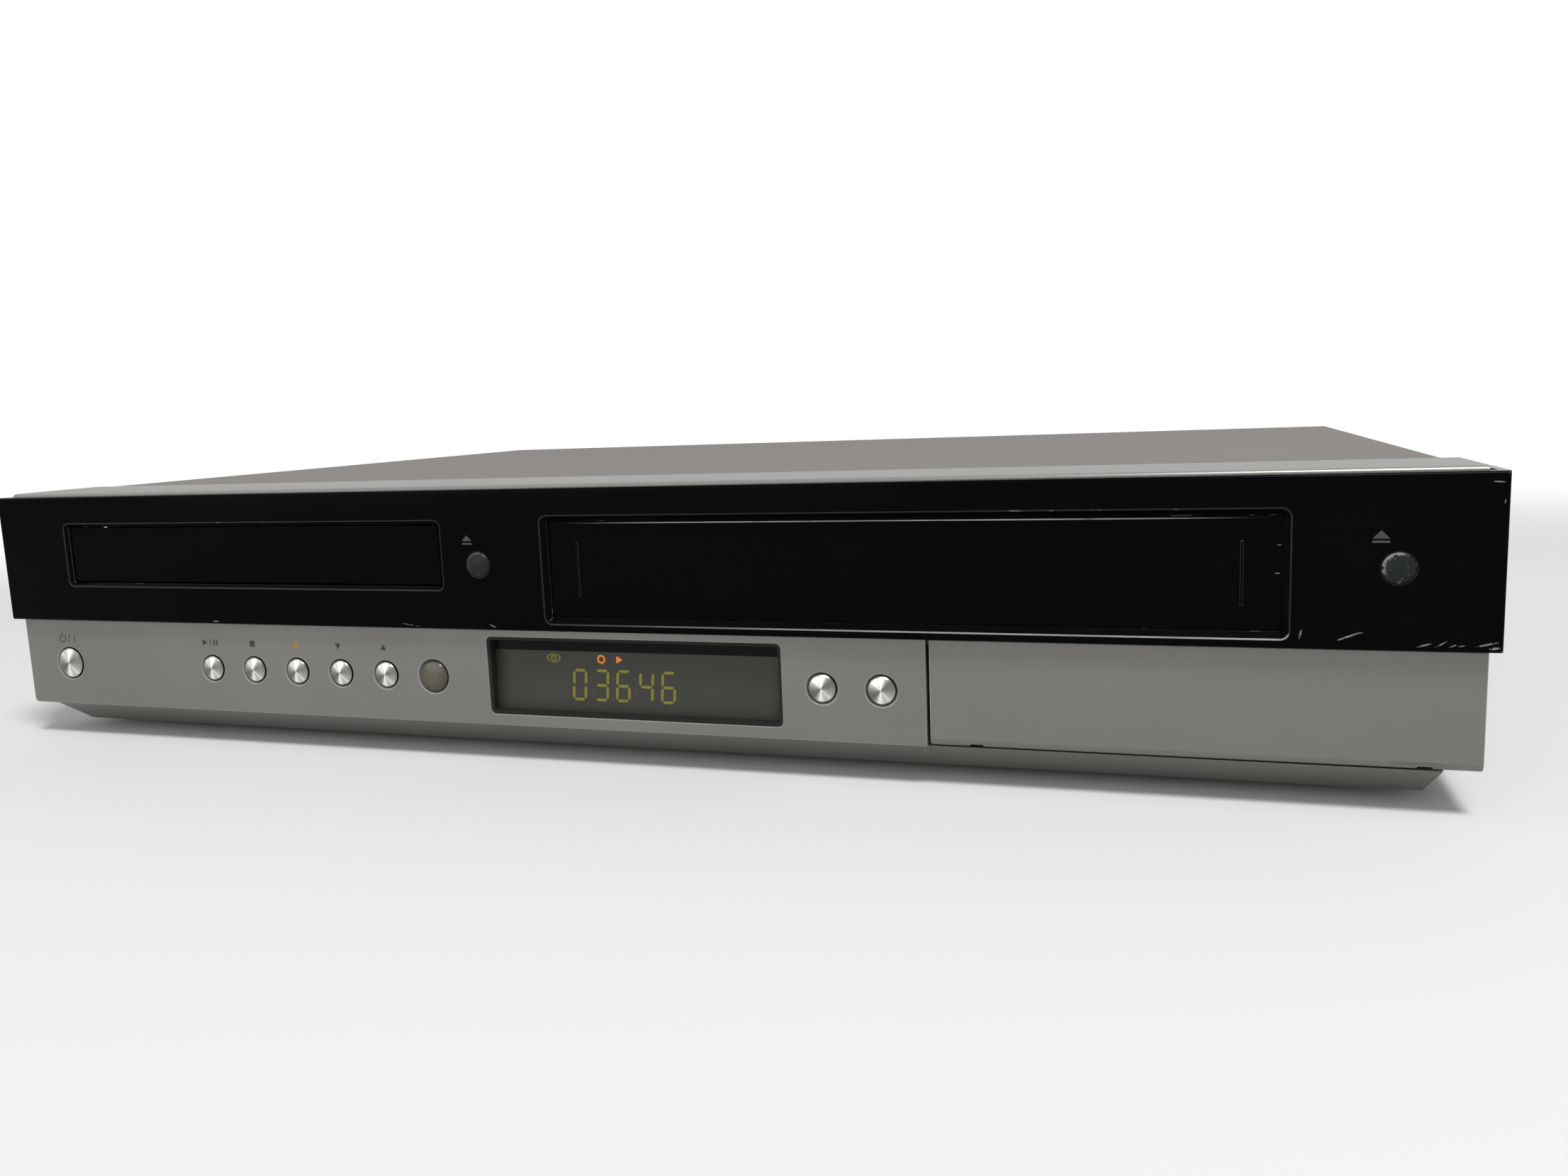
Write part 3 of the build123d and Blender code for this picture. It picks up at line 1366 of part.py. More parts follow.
# ---- power supply parts: transformer, capacitors, heat sink, chokes ----
with BuildPart() as power_parts:
    core_z = (board_top_z, board_top_z + core_h)
    slab(on_power(core_span, power_left), on_power((-core_half, core_half), power_middle), core_z)
    coil_z = (core_z[1], board_top_z + coil_top)
    slab(on_power(coil_span, power_left), on_power((-coil_half, coil_half), power_middle), coil_z)
    tall_z = (board_top_z, board_top_z + mains_cap_h)
    cap_x, cap_depth = power_left + mains_cap_place[0], power_middle + mains_cap_place[1]
    rod_z(cap_x, cap_depth, tall_z, mains_cap_r)
    for step in small_cap_steps:
        cap_z = (board_top_z, board_top_z + small_cap_h)
        rod_z(power_left + small_cap_offset, power_middle + step, cap_z, small_cap_r)
    sink = on_power(sink_depths, power_middle)
    slab(on_power(sink_span, power_left), sink, tall_z)
    for n in range(sink_fins):
        x = power_left + sink_fin_start + sink_fin_pitch * n
        slab((x, x + sink_fin_t), (sink[1], sink[1] + sink_fin_reach), (board_top_z + 4, tall_z[1]))
    choke_z = (board_top_z, board_top_z + choke_h)
    slab(on_power(choke_span, power_left), on_power(choke_depths, power_middle), choke_z)
save(power_parts, "power_parts")


def ring(x, depth, z, outer, bore, mode=Mode.ADD):
    """A tube along Y between two depths, in the open part."""
    with BuildSketch(front_plane(depth[0])) as face:
        with Locations((x, z)):
            Circle(outer)
            Circle(bore, mode=Mode.SUBTRACT)
    extrude(face.sketch, amount=depth[0] - depth[1], mode=mode)


# ---- front sockets on the plate at the back of the input bay ----
with BuildPart() as front_sockets:
    plate_z = (bay_low_z - 1.4, bay_high_z + 1.4)
    slab((bay_left - 1, bay_right), (bay_depth, bay_depth + 1.6), plate_z)
    for x in front_phono_x:
        rod_y(x, (bay_depth - 2, bay_depth), jack_z, 6.0)
        rod_y(x, (bay_depth - jack_reach, bay_depth), jack_z, phono_r)
        ring(x, (bay_depth - jack_reach - 1, bay_depth - 1.5), jack_z, 3.4, 2.4, Mode.SUBTRACT)
        rod_y(x, (bay_depth - jack_reach - 1, bay_depth - 1), jack_z, 1.6, Mode.SUBTRACT)
    rod_y(s_video_x, (bay_depth - 3, bay_depth), jack_z, 7.0)
    for angle in (35, 75, 105, 145):
        dx = 2.6 * math.cos(math.radians(angle))
        dz = 2.6 * math.sin(math.radians(angle))
        rod_y(s_video_x + dx, (bay_depth - 4, bay_depth - 1), jack_z - dz, 0.5, Mode.SUBTRACT)
    ring(s_video_x, (bay_depth - 4, bay_depth - 1), jack_z, 5.4, 4.4, Mode.SUBTRACT)
    body_z = (jack_z - digital_h / 2, jack_z + digital_h / 2)
    slab((digital_x - digital_w / 2, digital_x + digital_w / 2), (bay_depth - 2, bay_depth), body_z)
    mouth_x = (digital_x - digital_mouth_w / 2, digital_x + digital_mouth_w / 2)
    mouth_z = (jack_z - digital_mouth_h / 2, jack_z + digital_mouth_h / 2)
    slab(mouth_x, (bay_depth - 3, bay_depth - 0.4), mouth_z, Mode.SUBTRACT)
save(front_sockets, "front_sockets")

# ---- 21-pin sockets ----
with BuildPart() as scart_sockets:
    low, high = scart_z - scart_h / 2, scart_z + scart_h / 2
    scart_front = case_depth - 21.0
    for x in scart_x:
        slab((x - scart_w / 2, x + scart_w / 2), (scart_front, case_depth + scart_proud), (low, high))
        slab((x - 20, x + 20), (scart_front, scart_front + 12), (board_top_z, low))
        mouth = (case_depth + scart_proud - 8, case_depth + scart_proud + 1)
        slab((x - 22.0, x + 22.0), mouth, (low + 1.4, high - 1.4), Mode.SUBTRACT)
        slab((x - 20.3, x + 20.3), (mouth[0], mouth[1] - 3), (scart_z - 3.4, scart_z + 3.4))
        for row_z in (scart_z - scart_row_offset, scart_z + scart_row_offset):
            for n in range(scart_pins):
                pin_x = x + (n - (scart_pins - 1) / 2) * scart_pitch
                hole_x = (pin_x - scart_hole_w / 2, pin_x + scart_hole_w / 2)
                hole_z = (row_z - scart_hole_h / 2, row_z + scart_hole_h / 2)
                slab(hole_x, (mouth[1] - 8, mouth[1]), hole_z, Mode.SUBTRACT)
save(scart_sockets, "scart_sockets")

# ---- rear phono sockets in one block ----
with BuildPart() as phono_sockets:
    block_x = (phono_x[0] - 6.5, phono_x[-1] + 6.5)
    slab(block_x, (case_depth - 17.0, rear_inner - seat_gap), (board_top_z, phono_z[1] + 7))
    for x in phono_x:
        for z in phono_z:
            rod_y(x, (rear_inner - 2, case_depth + phono_proud), z, phono_r)
            ring(x, (rear_inner, case_depth + phono_proud + 1), z, 3.4, 2.4, Mode.SUBTRACT)
            rod_y(x, (rear_inner, case_depth + phono_proud + 1), z, 1.6, Mode.SUBTRACT)
save(phono_sockets, "phono_sockets")

# ---- tuner can with its two aerial sockets ----
with BuildPart() as tuner:
    half = tuner_w / 2
    can = (case_depth - 23.0, rear_inner - seat_gap)
    slab((tuner_x - half, tuner_x + half), can, (board_top_z, tuner_z[1] + 9))
    rod_y(tuner_x, (rear_inner - 1, case_depth + rear_jack_proud), tuner_z[0], aerial_r)
    ring(tuner_x, (case_depth, case_depth + rear_jack_proud + 1), tuner_z[0], 3.9, 1.8, Mode.SUBTRACT)
    rod_y(tuner_x, (case_depth, case_depth + rear_jack_proud + 1), tuner_z[0], 1.2, Mode.SUBTRACT)
    rod_y(tuner_x, (rear_inner - 1, case_depth + rear_jack_proud - 1), tuner_z[1], aerial_r - 0.3)
    rod_y(tuner_x, (rear_inner - 1, case_depth + rear_jack_proud), tuner_z[1], 1.2)
save(tuner, "tuner")

# ---- mains inlet: two pins in a recess, a flange outside the panel ----
with BuildPart() as mains_inlet:
    inlet_front = case_depth - 18.0
    slab((inlet_x - 11, inlet_x + 11), (inlet_front, case_depth), (inlet_z - 7, inlet_z + 7))
    slab((inlet_x - 14, inlet_x + 14), (case_depth, case_depth + 1.6), (inlet_z - 9, inlet_z + 9))
    recess = (case_depth + 1.6 - inlet_recess, case_depth + 2.6)
    for side in (-1, 1):
        rod_y(inlet_x + side * inlet_pin_offset, recess, inlet_z, 4.4, Mode.SUBTRACT)
    slab((inlet_x - 4.3, inlet_x + 4.3), recess, (inlet_z - 3.6, inlet_z + 3.6), Mode.SUBTRACT)
    for side in (-1, 1):
        rod_y(inlet_x + side * inlet_pin_offset, (recess[0], case_depth), inlet_z, 1.2)
    foot = (inlet_front - 7, inlet_front + 2)
    slab((inlet_x - 9, inlet_x + 9), (foot[0], inlet_front), (board_top_z, inlet_z + 4))
    slab((inlet_x - 9, inlet_x + 9), foot, (board_top_z, inlet_z - 7))
save(mains_inlet, "mains_inlet")

# ---- fan: frame with a bored square body and four spokes, rotor with blades ----
fan_span = (rear_inner - fan_depth, rear_inner)
with BuildPart() as fan_frame:
    half = fan_side / 2
    slab((fan_x - half, fan_x + half), fan_span, (fan_z - half, fan_z + half))
    rod_y(fan_x, (fan_span[0] - 1, fan_span[1] + 1), fan_z, fan_bore_r, Mode.SUBTRACT)
    hub_span = (fan_span[0], fan_span[0] + 1.4)
    for turn in (45, 135):
        with BuildSketch(front_plane(hub_span[0])) as spoke:
            with Locations(Location((fan_x, fan_z, 0), (0, 0, turn))):
                Rectangle(2 * fan_bore_r + 2, 2.4)
        extrude(spoke.sketch, amount=hub_span[0] - hub_span[1])
    rod_y(fan_x, hub_span, fan_z, fan_hub_r)
    rod_y(fan_x, (hub_span[1], fan_span[1] - 1.2), fan_z, spindle_r)
save(fan_frame, "fan_frame")

with BuildPart() as fan_rotor:
    rotor_span = (hub_span[1] + edge_gap, fan_span[1] - 0.6)
    rod_y(fan_x, rotor_span, fan_z, fan_hub_r)
    blade_middle = (rotor_span[0] + rotor_span[1]) / 2
    for n in range(fan_blades):
        radial = 2 * math.pi * n / fan_blades
        pitch = math.radians(blade_pitch)
        blade_plane = Plane(
            origin=(fan_x, behind(blade_middle), fan_z),
            x_dir=(math.cos(radial), 0, math.sin(radial)),
            z_dir=(
                -math.sin(pitch) * math.sin(radial),
                math.cos(pitch),
                math.sin(pitch) * math.cos(radial),
            ),
        )
        with BuildSketch(blade_plane) as blade:
            opening((fan_hub_r - 2, fan_blade_r - 0.4), (-blade_chord / 2, blade_chord / 2), mode=Mode.ADD)
        extrude(blade.sketch, amount=blade_t / 2, both=True)
    rod_y(fan_x, (hub_span[0], fan_span[1] - 1.0), fan_z, spindle_r + running, Mode.SUBTRACT)
save(fan_rotor, "fan_rotor")
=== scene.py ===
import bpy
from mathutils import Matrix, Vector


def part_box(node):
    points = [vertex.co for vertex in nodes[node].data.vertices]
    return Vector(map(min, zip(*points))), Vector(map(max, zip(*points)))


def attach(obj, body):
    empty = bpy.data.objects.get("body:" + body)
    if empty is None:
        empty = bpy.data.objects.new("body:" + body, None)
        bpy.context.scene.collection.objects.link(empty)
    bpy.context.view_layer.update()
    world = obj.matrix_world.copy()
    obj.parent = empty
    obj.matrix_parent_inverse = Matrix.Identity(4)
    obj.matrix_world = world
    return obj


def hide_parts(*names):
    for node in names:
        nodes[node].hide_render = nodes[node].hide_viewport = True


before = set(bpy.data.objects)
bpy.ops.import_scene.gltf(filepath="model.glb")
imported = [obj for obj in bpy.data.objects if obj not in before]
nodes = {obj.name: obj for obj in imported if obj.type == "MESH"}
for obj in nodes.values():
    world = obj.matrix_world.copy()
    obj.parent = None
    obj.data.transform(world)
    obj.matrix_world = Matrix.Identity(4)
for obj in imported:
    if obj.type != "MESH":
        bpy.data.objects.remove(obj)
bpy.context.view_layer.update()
print("solid parts in place:", len(nodes))

# %% [markdown]
# A low recorder for discs and tape cassettes. Its solid parts are already in place, in metres,
# so the notebook's work is what the eye sees: paint, gloss, plating, wear, the printed signs and
# the lit clock. Depths are written in millimetres behind the black front's face, because that is
# how such a machine is measured.

# %% Measures
import math

import bmesh
import bpy
from mathutils import Matrix, Vector

MM = 0.001
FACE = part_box("black_fascia")[0].y


def spot_at(x, depth, z):
    """A place in metres from an X place, a depth behind the front's face and a height."""
    return Vector((x * MM, FACE + depth * MM, z * MM))


def middle_of(node):
    """The middle of a solid part's box."""
    low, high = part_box(node)
    return (low + high) / 2


# %% [markdown]
# Every finish is a small graph of nodes. Joining nodes by hand is slow to read, so a Wire stands
# for one output and lets Python's own operators add the Math nodes: `1 - mask` is then a node.
# Finish holds a material and has one method that adds any other node.


# %% Shader maths as Python expressions
class Wire:
    """One output of a node, with the operators that the finishes use."""

    def __init__(self, finish, socket):
        self.finish = finish
        self.socket = socket

    def __add__(self, other):
        return self.finish.maths("ADD", self, other)

    def __sub__(self, other):
        return self.finish.maths("SUBTRACT", self, other)

    def __rsub__(self, other):
        return self.finish.maths("SUBTRACT", other, self)

    def __mul__(self, other):
        return self.finish.maths("MULTIPLY", self, other)

    def __pow__(self, other):
        return self.finish.maths("POWER", self, other)

    def __abs__(self):
        return self.finish.maths("ABSOLUTE", self)

    def __or__(self, other):
        return self.finish.maths("MAXIMUM", self, other)

    __radd__ = __add__

    def rise(self, low, high):
        """0 below low, 1 above high and smooth between; with low above high it falls instead."""
        bounds = {"Value": self, "From Min": low, "From Max": high}
        return self.finish.node("MapRange", {"interpolation_type": "SMOOTHSTEP"}, bounds)


class Finish:
    """A material: its shader, and one method that adds any node."""

    def __init__(self, name, colour, roughness, **fixed):
        self.material = bpy.data.materials.new(name)
        self.material.use_nodes = True
        self.tree = self.material.node_tree
        self.shader = self.tree.nodes["Principled BSDF"]
        self.paint(Base_Color=(*colour, 1.0), Roughness=roughness, **fixed)

    def feed(self, socket, value):
        if isinstance(value, Wire):
            self.tree.links.new(value.socket, socket)
        else:
            socket.default_value = value

    def paint(self, **sockets):
        """Sets or joins the shader's own sockets; an underscore stands for a space."""
        for name, value in sockets.items():
            self.feed(self.shader.inputs[name.replace("_", " ")], value)

    def node(self, kind, settings=None, sockets=None, out=0):
        made = self.tree.nodes.new("ShaderNode" + kind)
        for name, value in (settings or {}).items():
            setattr(made, name, value)
        for name, value in (sockets or {}).items():
            self.feed(made.inputs[name], value)
        return Wire(self, made.outputs[out])

    def place(self, centre=(0, 0, 0), turn=(0, 0, 0), stretch=(1, 1, 1)):
        """Places on the piece, counted from a centre, turned, then divided by a stretch."""
        spot = self.node("TexCoord", out="Object")
        sockets = {"Vector": spot, "Location": centre, "Rotation": turn, "Scale": stretch}
        return self.node("Mapping", {"vector_type": "TEXTURE"}, sockets)

    def maths(self, operation, *values):
        return self.node("Math", {"operation": operation}, dict(enumerate(values)))

    def axes(self, spot):
        split = self.node("SeparateXYZ", sockets={"Vector": spot}).socket.node
        return [Wire(self, split.outputs[axis]) for axis in "XYZ"]

    def noise(self, spot, size, detail=3.0):
        """Cloudy noise whose lumps are about one size across, in metres."""
        return self.node("TexNoise", {}, {"Vector": spot, "Scale": 1 / size, "Detail": detail})

    def dots(self, spot, size):
        """How far a place is from the nearest of many scattered dots, one in each cell."""
        return self.node("TexVoronoi", {}, {"Vector": spot, "Scale": 1 / size})

    def length(self, spot):
        return self.node("VectorMath", {"operation": "LENGTH"}, {"Vector": spot}, out="Value")

    def blend(self, mask, first, second):
        """The first colour where the mask is 0 and the second where it is 1."""
        pair = [value if isinstance(value, Wire) else (*value, 1.0) for value in (first, second)]
        return self.node("Mix", {"data_type": "RGBA"}, {0: mask, 6: pair[0], 7: pair[1]}, out=2)

    def bump(self, height, distance):
        """Raises the surface by up to a distance in metres."""
        self.paint(Normal=self.node("Bump", {}, {"Height": height, "Distance": distance}))

    def streak(self, x, z, length, width, tilt):
        """A mask of one tapered scratch on a face seen from the front, in millimetres."""
        stretch = (length / 2 * MM, 1.0, width / 2 * MM)
        spot = self.place((x * MM, 0, z * MM), (0, -math.radians(tilt), 0), stretch)
        return self.length(spot).rise(1.0, 0.55)


print("finishes are", Finish.__name__, "objects and their maths uses", Wire.__name__)

# %% [markdown]
# The black front, the flap and the tray's door are one glossy moulding, wiped for years. It
# could be a flat black, but then nothing would tell it from a hole. Real gloss shows smears of
# polish as changes in roughness, hair scratches and a little dust, so these three are made, and
# the longer knocks along the lower right edge are drawn one by one as tapered streaks.

# %% Gloss black
BLACK = (0.0012, 0.0014, 0.0017)
KNOCK = (0.2, 0.2, 0.19)
HIGHLIGHT_GREY = (0.36, 0.38, 0.37)
HAIR_TILT, HAIR_SHAPE = (0, 0.22, 0), (0.16, 0.16, 0.0012)
LIP_LOW, LIP_HIGH = 0.0398, 0.0425


def gloss_black(name, knocks=(), highlight_lines=()):
    finish = Finish(name, BLACK, 0.12, Specular_IOR_Level=0.025)
    spot = finish.place()
    smears = finish.noise(spot, 0.045, 4)
    hairs = finish.noise(finish.place(turn=HAIR_TILT, stretch=HAIR_SHAPE), 1.0, 2)
    hair = abs(hairs - 0.5).rise(0.012, 0.002) * finish.noise(spot, 0.02).rise(0.55, 0.7)
    dust = finish.dots(spot, 0.0035).rise(0.055, 0.03) * finish.noise(spot, 0.03).rise(0.5, 0.62)
    colour = finish.blend(hair * 0.012 | dust * 0.02, BLACK, KNOCK)
    if knocks:
        marks = finish.streak(*knocks[0])
        for knock in knocks[1:]:
            marks = marks | finish.streak(*knock)
        ragged = marks * finish.noise(spot, 0.0009, 2).rise(0.34, 0.48)
        colour = finish.blend(ragged, colour, KNOCK)
        finish.bump(1 - ragged, 0.00008)
    # Each highlight line is painted: a pale, broken line in the colour along an edge where light
    # catches it, here the flap's top edge.
    for line in highlight_lines:
        wear_and_highlight = finish.streak(*line) * finish.noise(spot, 0.01, 3).rise(0.1, 0.55)
        colour = finish.blend(wear_and_highlight, colour, HIGHLIGHT_GREY)
    finish.paint(Base_Color=colour, Roughness=0.06 + smears * 0.14 + hair * 0.2 + dust * 0.4)
    return finish.material


FRONT_KNOCKS = (
    (174.2, 42.4, 2.6, 0.5, 78),
    (184.0, 42.0, 6.2, 0.55, 22),
    (186.4, 42.9, 2.0, 0.3, 8),
    (199.4, 40.4, 3.6, 0.5, 16),
    (202.8, 40.7, 3.2, 0.4, 30),
    (205.4, 40.5, 2.8, 0.3, 22),
    (206.8, 40.4, 1.6, 0.3, 10),
    (211.6, 40.8, 5.6, 0.5, 14),
    (213.2, 40.0, 2.6, 0.7, 5),
    (212.6, 76.2, 2.8, 0.4, -4),
    (213.9, 72.0, 1.2, 0.35, 80),
    (-132.0, 39.8, 3.0, 0.5, 0),
    (-62.0, 40.0, 7.0, 0.25, -8),
    (-35.0, 40.2, 2.6, 0.5, -20),
)
front_black = gloss_black("front_black", FRONT_KNOCKS)
# The finish of the eased black edges is a little paler than the black front, with patches of
# rubbed wear. Along the lower lip of the cassette opening, stronger towards the right, it is
# painted light grey as a highlight where light catches that edge.
black_edge = Finish("black_edge", (0.004, 0.004, 0.005), 0.16, Specular_IOR_Level=0.3)
edge_wear = black_edge.noise(black_edge.place(), 0.006, 4)
black_edge.paint(Roughness=0.1 + edge_wear * 0.2)
edge_x, _, edge_z = black_edge.axes(black_edge.place())
# Painted highlight on the lower lip, fading out towards the left.
lip = edge_z.rise(LIP_HIGH, LIP_HIGH - 0.0007) * edge_z.rise(LIP_LOW, LIP_LOW + 0.0006)
lip = lip * edge_x.rise(-0.02, 0.09)
wear_and_highlight = edge_wear.rise(0.62, 0.7) * 0.3 | lip * (0.45 + edge_wear * 0.6)
black_edge.paint(Base_Color=black_edge.blend(wear_and_highlight, BLACK, (0.34, 0.35, 0.35)))
door_black = gloss_black("door_black")
FLAP_NICKS = ((169.6, 62.5, 1.2, 0.25, 0), (169.3, 56.0, 1.4, 0.35, 0))
# Painted highlights: pale lines along the flap's top edge, where light catches it.
FLAP_TOP_HIGHLIGHTS = ((110.0, 68.72, 122.0, 0.4, 0), (40.0, 68.72, 112.0, 0.36, 0))
flap_black = gloss_black("flap_black", FLAP_NICKS, FLAP_TOP_HIGHLIGHTS)
print("knocks drawn on the front:", len(FRONT_KNOCKS))

# %% [markdown]
# The lower panel is plastic sprayed silver: grey lacquer with fine metal flakes in it. A pure
# metal would mirror the room and a plain grey would look like card. A little metal in the
# shader, flakes as fine noise in the colour and a faint orange-peel bump sit between the two.


# %% Silver paint and cover paint
def sprayed(name, colour, roughness, metallic, grain, depth):
    """Sprayed paint: flakes or grit of a grain's size, a faint cloudiness and a low bump."""
    finish = Finish(name, colour, roughness, Metallic=metallic)
    spot = finish.place()
    flakes = finish.noise(spot, grain, 2)
    clouds = finish.noise(spot, 0.05, 3)
    darker = [part * 0.9 for part in colour]
    lighter = [part * 1.1 for part in colour]
    tone = (flakes * 0.65 + clouds * 0.35).rise(0.3, 0.7)
    finish.paint(Base_Color=finish.blend(tone, darker, lighter))
    finish.paint(Roughness=roughness - 0.06 + clouds * 0.12)
    finish.bump(finish.noise(spot, grain * 3, 2), depth)
    return finish


SILVER = (0.172, 0.169, 0.159)
silver = sprayed("silver_paint", SILVER, 0.40, 0.35, 0.00016, 0.00001)
COVER = (0.172, 0.16, 0.146)
cover_paint = sprayed("cover_paint", COVER, 0.55, 0.0, 0.0003, 0.00004)
cover_paint.paint(Specular_IOR_Level=0.12)
# A paler copy of the silver paint for the eased edges and the rolled top strip: a painted
# highlight.
silver_highlight = sprayed("silver_highlight", (0.25, 0.246, 0.233), 0.3, 0.4, 0.00016, 0.00001)


def soiled(finish, centre, size, colour, strength):
    """Adds a soft-edged stain of a size, in millimetres, round a centre."""
    near = finish.place(spot_at(*centre), stretch=[part / 2 * MM for part in size])
    ragged = finish.length(near) + finish.noise(finish.place(), 0.004) * 0.5
    mask = ragged.rise(1.3, 0.6) * strength
    old = Wire(finish, finish.shader.inputs["Base Color"].links[0].from_socket)
    finish.paint(Base_Color=finish.blend(mask, old, colour))


soiled(cover_paint, (168.0, 75.0, 79.3), (26.0, 30.0, 6.0), (0.2, 0.165, 0.145), 0.5)
soiled(silver, (24.0, 4.6, 10.6), (3.4, 6.0, 2.4), (0.08, 0.08, 0.07), 0.6)
soiled(silver, (200.0, 3.0, 12.6), (16.0, 8.0, 1.4), (0.1, 0.1, 0.09), 0.5)
print("paints:", silver.material.name, cover_paint.material.name)

# %% [markdown]
# Each round button is a disc of metal turned on a lathe. The tool leaves grooves too fine to
# see, but they bend every highlight into bright wedges that meet at the centre. Here those
# wedges and the darker sectors between them are painted into the colour as highlight and shade.
# They follow the angle round the button's own middle, so each button gets the finish with its
# centre moved there, and the grooves themselves are a low bump that counts rings outwards. The
# side wall is painted dark as shade, which sets the disc apart from the hole it stands in.


# %% Turned metal for the buttons
FLANGE, GROOVE = 1.0 * MM, 0.22 * MM
MAIN_WEDGE, SIDE_WEDGE = math.radians(84), math.radians(131)
ACROSS_ONLY = (1, 1000, 1)


def turned_metal(node):
    """A turned disc, its wedges painted as highlights and its side wall as shade, for one button.
    """
    finish = Finish("turned_" + node, (0.5, 0.49, 0.47), 0.3, Metallic=0.85)
    centre = middle_of(node)
    side_r = (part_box(node)[1].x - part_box(node)[0].x) / 2 - FLANGE
    spot = finish.place(centre)
    x, _, z = finish.axes(spot)
    angle = finish.maths("ARCTAN2", z, x)
    # The wedges and sectors are painted highlight and shade in the base colour. The noise adds
    # random tone.
    main = abs(finish.maths("COSINE", angle - MAIN_WEDGE)) ** 22
    side = abs(finish.maths("COSINE", angle - SIDE_WEDGE)) ** 60
    halves = finish.maths("SINE", angle * 2 + 0.5)
    radius = finish.length(finish.place(centre, stretch=ACROSS_ONLY))
    rings = finish.maths("SINE", radius * (2 * math.pi / GROOVE))
    light = 0.24 - halves * 0.2 + main * 0.7 + side * 0.3 + finish.noise(spot, 0.002) * 0.06
    face = finish.blend(light, (0.1, 0.098, 0.092), (0.95, 0.94, 0.9))
    # The side wall is painted dark as shade.
    wall = radius.rise(side_r - 0.12 * MM, side_r - 0.02 * MM)
    finish.paint(Base_Color=finish.blend(wall, face, (0.025, 0.025, 0.024)))
    finish.bump(rings, 0.000004)
    return finish.material


def worn_button(name, centre, wear):
    """A satin black button whose rim has been worn down to grey."""
    finish = Finish(name, (0.01, 0.011, 0.01), 0.35, Specular_IOR_Level=0.15)
    spot = finish.place(centre)
    radius = finish.length(finish.place(centre, stretch=ACROSS_ONLY))
    x, _, z = finish.axes(spot)
    side = (z - x * 1.3).rise(0.0004, 0.0036)
    rim = radius.rise(0.0025, 0.0033) * finish.noise(spot, 0.001, 4).rise(0.42, 0.56) * side
    blots = finish.noise(spot, 0.0008, 3).rise(0.6, 0.68) * radius.rise(0.0012, 0.0026) * 0.4
    worn = (rim | blots) * wear
    finish.paint(Base_Color=finish.blend(worn, (0.011, 0.014, 0.0135), (0.24, 0.24, 0.23)))
    finish.paint(Roughness=0.34 + worn * 0.3)
    finish.bump(finish.noise(spot, 0.0004, 2) - worn, 0.00003)
    return finish.material


def bronze_dome(name, centre):
    """A translucent bronze button: light from inside is painted into its colour as a warmer,
    lighter middle, with a speckle.
    """
    finish = Finish(name, (0.11, 0.09, 0.055), 0.22)
    spot = finish.place(centre)
    radius = finish.length(finish.place(centre, stretch=ACROSS_ONLY))
    speckle = finish.noise(spot, 0.00035, 2).rise(0.35, 0.65)
    # The lighter middle is painted light. The speckle is the material's grain.
    glow_and_speckle = radius.rise(0.0044, 0.001) * 0.6 + speckle * 0.4
    finish.paint(Base_Color=finish.blend(glow_and_speckle, (0.045, 0.041, 0.033), (0.115, 0.095, 0.06)))
    return finish.material


BUTTONS = [name for name in nodes if name.endswith("_button")]
button_finish = {}
for name in BUTTONS:
    if name == "dubbing_button":
        button_finish[name] = bronze_dome("bronze_dome", middle_of(name))
    elif name == "cassette_eject_button":
        button_finish[name] = worn_button("rubbed_black", middle_of(name), 1.0)
    elif name == "disc_eject_button":
        button_finish[name] = worn_button("satin_black", middle_of(name), 0.35)
    else:
        button_finish[name] = turned_metal(name)
print("buttons finished:", len(button_finish))

# %% [markdown]
# Inside and behind, plain industrial finishes do the work: zinc-plated sheet with its rolling
# grain, moulded plastics, rubber, bare turned metal. Two short recipes cover them all, metal
# and moulding, and they differ by colour, roughness and the direction of their grain.


# %% Metals and mouldings
def bare_metal(name, colour, roughness, grain=(0.02, 0.0004, 0.02), patch=0.012):
    """Metal with a drawn or rolled grain and the pale patches of its plating."""
    finish = Finish(name, colour, roughness, Metallic=1.0)
    lines = finish.noise(finish.place(stretch=grain), 1.0, 3)
    patches = finish.noise(finish.place(), patch, 2)
    tone = (lines * 0.5 + patches * 0.5).rise(0.3, 0.7)
    finish.paint(Base_Color=finish.blend(tone, [c * 0.82 for c in colour], colour))
    finish.paint(Roughness=roughness - 0.06 + patches * 0.12)
    finish.bump(lines, 0.00001)
    return finish


def moulding(name, colour, roughness, grain=0.0004, depth=0.00002):
    """Moulded plastic or rubber with a fine spark-eroded grain."""
    finish = Finish(name, colour, roughness)
    spot = finish.place()
    tone = finish.noise(spot, 0.02, 3)
    darker, lighter = [c * 0.85 for c in colour], [c * 1.12 for c in colour]
    finish.paint(Base_Color=finish.blend(tone, darker, lighter))
    finish.paint(Roughness=roughness - 0.05 + tone * 0.1)
    finish.bump(finish.noise(spot, grain, 2), depth)
    return finish


